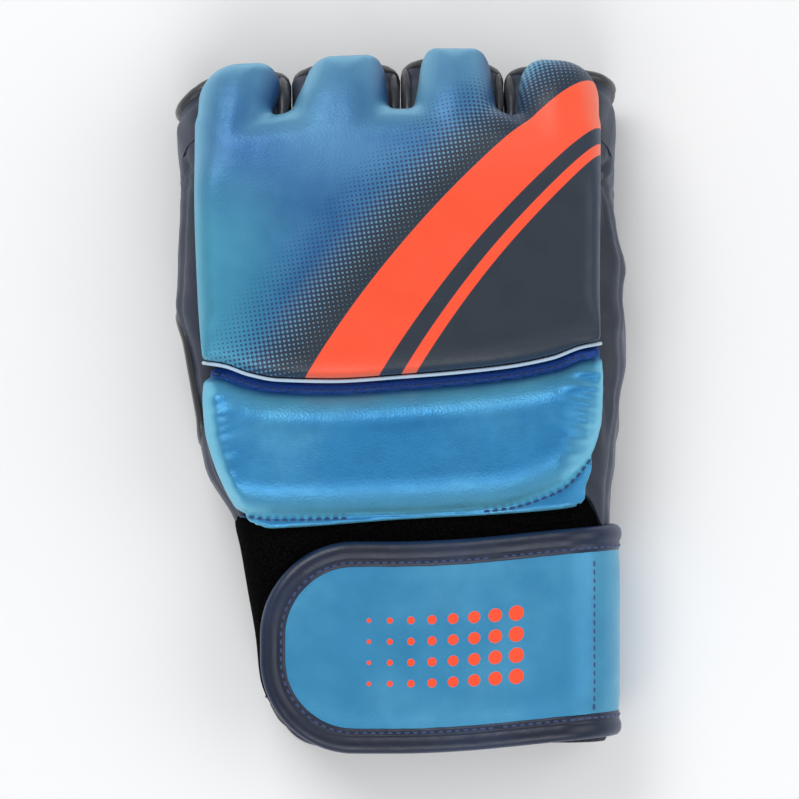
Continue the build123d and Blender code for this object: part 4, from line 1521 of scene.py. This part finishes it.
# each run of the strap: from and to along it, the body it leaves and the one it reaches, and two points for a
# bend; nothing reads the last four
STRAP_RUNS = {
    "under": (0.0, S_MID_TURN, "hand", "strap_turn", (0, 0, 5), (0, 0, 15)),
    "panel": (S_MID_TURN, S_MID_PANEL, "strap_turn", "strap_panel", (47.5, 0, 0), (36, 0, 0)),
    "tip": (S_MID_PANEL, S_END, "strap_panel", "strap_tip", (12, 0, 0), (4, 0, 0)),
}
# the CAD nodes that each part of a run stands for, without the word strap_ before them
STRAP_NODES = {
    "under": {
        "face": ("under_face",),
        "core": ("under_core", "under_backing"),
        "binding": ("under_binding",),
    },
    "panel": {
        "face": ("turn_face", "panel_face"),
        "core": ("turn_core", "panel_core"),
        "binding": ("turn_binding", "panel_binding"),
        "hooks": ("panel_hooks",),
    },
    "tip": {part: (f"tip_{part}",) for part in ("face", "core", "binding", "hooks")},
}


# the strap's sheets: inset from its edge, height, thickness, material and how much the middle puffs out
STRAP_PLIES = {
    "face": (6.6, 3.95, 1.0, MAT["strap"], 0.45),
    "core": (2.2, 2.6, 1.0, MAT["tape"]),
    "hooks": (10.4, 1.62, 0.5, MAT["hooks"]),
}
HOOKS_FROM = S_TOP + 6


def build_strap():
    for run, (s0, s1, before, after, start, end) in STRAP_RUNS.items():
        made = [
            (strap_sheet(f"strap_{run}_leather", s0, s1, *STRAP_PLIES["face"]), "strap_leather", "face"),
            (strap_sheet(f"strap_{run}_backing", s0, s1, *STRAP_PLIES["core"]), "strap_backing", "core"),
            (strap_binding(f"strap_{run}_edge_band", s0, s1), "strap_binding", "binding"),
        ]
        if run != "under":
            hooks = strap_sheet(f"strap_{run}_hooks", max(s0, HOOKS_FROM), s1, *STRAP_PLIES["hooks"])
            made.append((hooks, "hook_tape", "hooks"))
        for sewn in strap_stitches(f"strap_{run}_stitches", s0, s1, 6.0, 4.2):
            made.append((sewn, "strap_binding", None))
        if run == "panel":
            made.append((turn_stitches(), "strap_leather", None))
        for piece, slot, node in made:
            np.array(start) * MM
            np.array(end) * MM
            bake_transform(piece)
            nodes = [f"strap_{n}" for n in STRAP_NODES[run].get(node, ())]
            finish_piece(piece, slot, nodes)


def turn_stitches():
    """The row of stitches across the strap where it comes round from the side."""
    y = np.linspace(STRAP_LOW + TURN_ROW_INSET, STRAP_HIGH - TURN_ROW_INSET, 60)
    s = np.full_like(y, S_TURN_ROW)
    return stitches("strap_turn_stitches", strap_point(s, y, 4.35), strap_normal(s), MAT["thread"])


build_strap()

# ---------------------------------------------------------------- stage, light and camera


def plain_floor():
    """A pale sheet four metres to each side."""
    n = Nodes("pale_floor")
    n.colour(n.mix(n.span(n.noise(2.0, 2), 0.3, 0.7), (0.90, 0.90, 0.90), (0.93, 0.93, 0.93)))
    n.set(Roughness=0.9, Specular_IOR_Level=0.1)
    size = 4000.0
    corners = [(-size, -size, 0), (size, -size, 0), (size, size, 0), (-size, size, 0)]
    floor = make_mesh("floor", corners, [(0, 1, 2, 3)], n.material)


def area_light(name, place, target, size, power):
    data = bpy.data.lights.new(name, "AREA")
    data.shape = "RECTANGLE"
    data.size, data.size_y = size
    data.energy = power
    lamp = bpy.data.objects.new(name, data)
    bpy.context.scene.collection.objects.link(lamp)
    lamp.location = place
    lamp.rotation_euler = (Vector(target) - Vector(place)).to_track_quat("-Z", "Y").to_euler()


def build_stage():
    plain_floor()
    area_light("key", (-0.45, 0.75, 1.0), (0, 0, 0.02), (0.8, 0.6), 7.0)
    area_light("fill", (0.8, 0.1, 0.9), (0, 0, 0.02), (0.9, 0.9), 3.6)
    area_light("front", (-0.1, -0.9, 1.0), (0, 0, 0.02), (1.2, 0.7), 6.5)
    world = bpy.data.worlds.new("studio")
    world.use_nodes = True
    sky = world.node_tree.nodes["Background"]
    sky.inputs[0].default_value = (0.95, 0.97, 1.0, 1)
    sky.inputs[1].default_value = 0.42
    bpy.context.scene.world = world


# the view is VIEW_WIDTH across at the height VIEW_Z, seen from straight above through a long lens
VIEW_WIDTH, VIEW_Z = 227.7, 35.0
LENS, SENSOR = 250.0, 36.0


def build_camera():
    data = bpy.data.cameras.new("camera")
    data.lens, data.sensor_width = LENS, SENSOR
    data.clip_start, data.clip_end = 0.05, 20
    camera = bpy.data.objects.new("camera", data)
    bpy.context.scene.collection.objects.link(camera)
    height = VIEW_WIDTH * LENS / SENSOR + VIEW_Z
    camera.location = (-0.26 * MM, -0.06 * MM, height * MM)
    bpy.context.scene.camera = camera


build_stage()
build_camera()
# the colours are mixed for a plain sRGB picture
bpy.context.scene.view_settings.view_transform = "Standard"
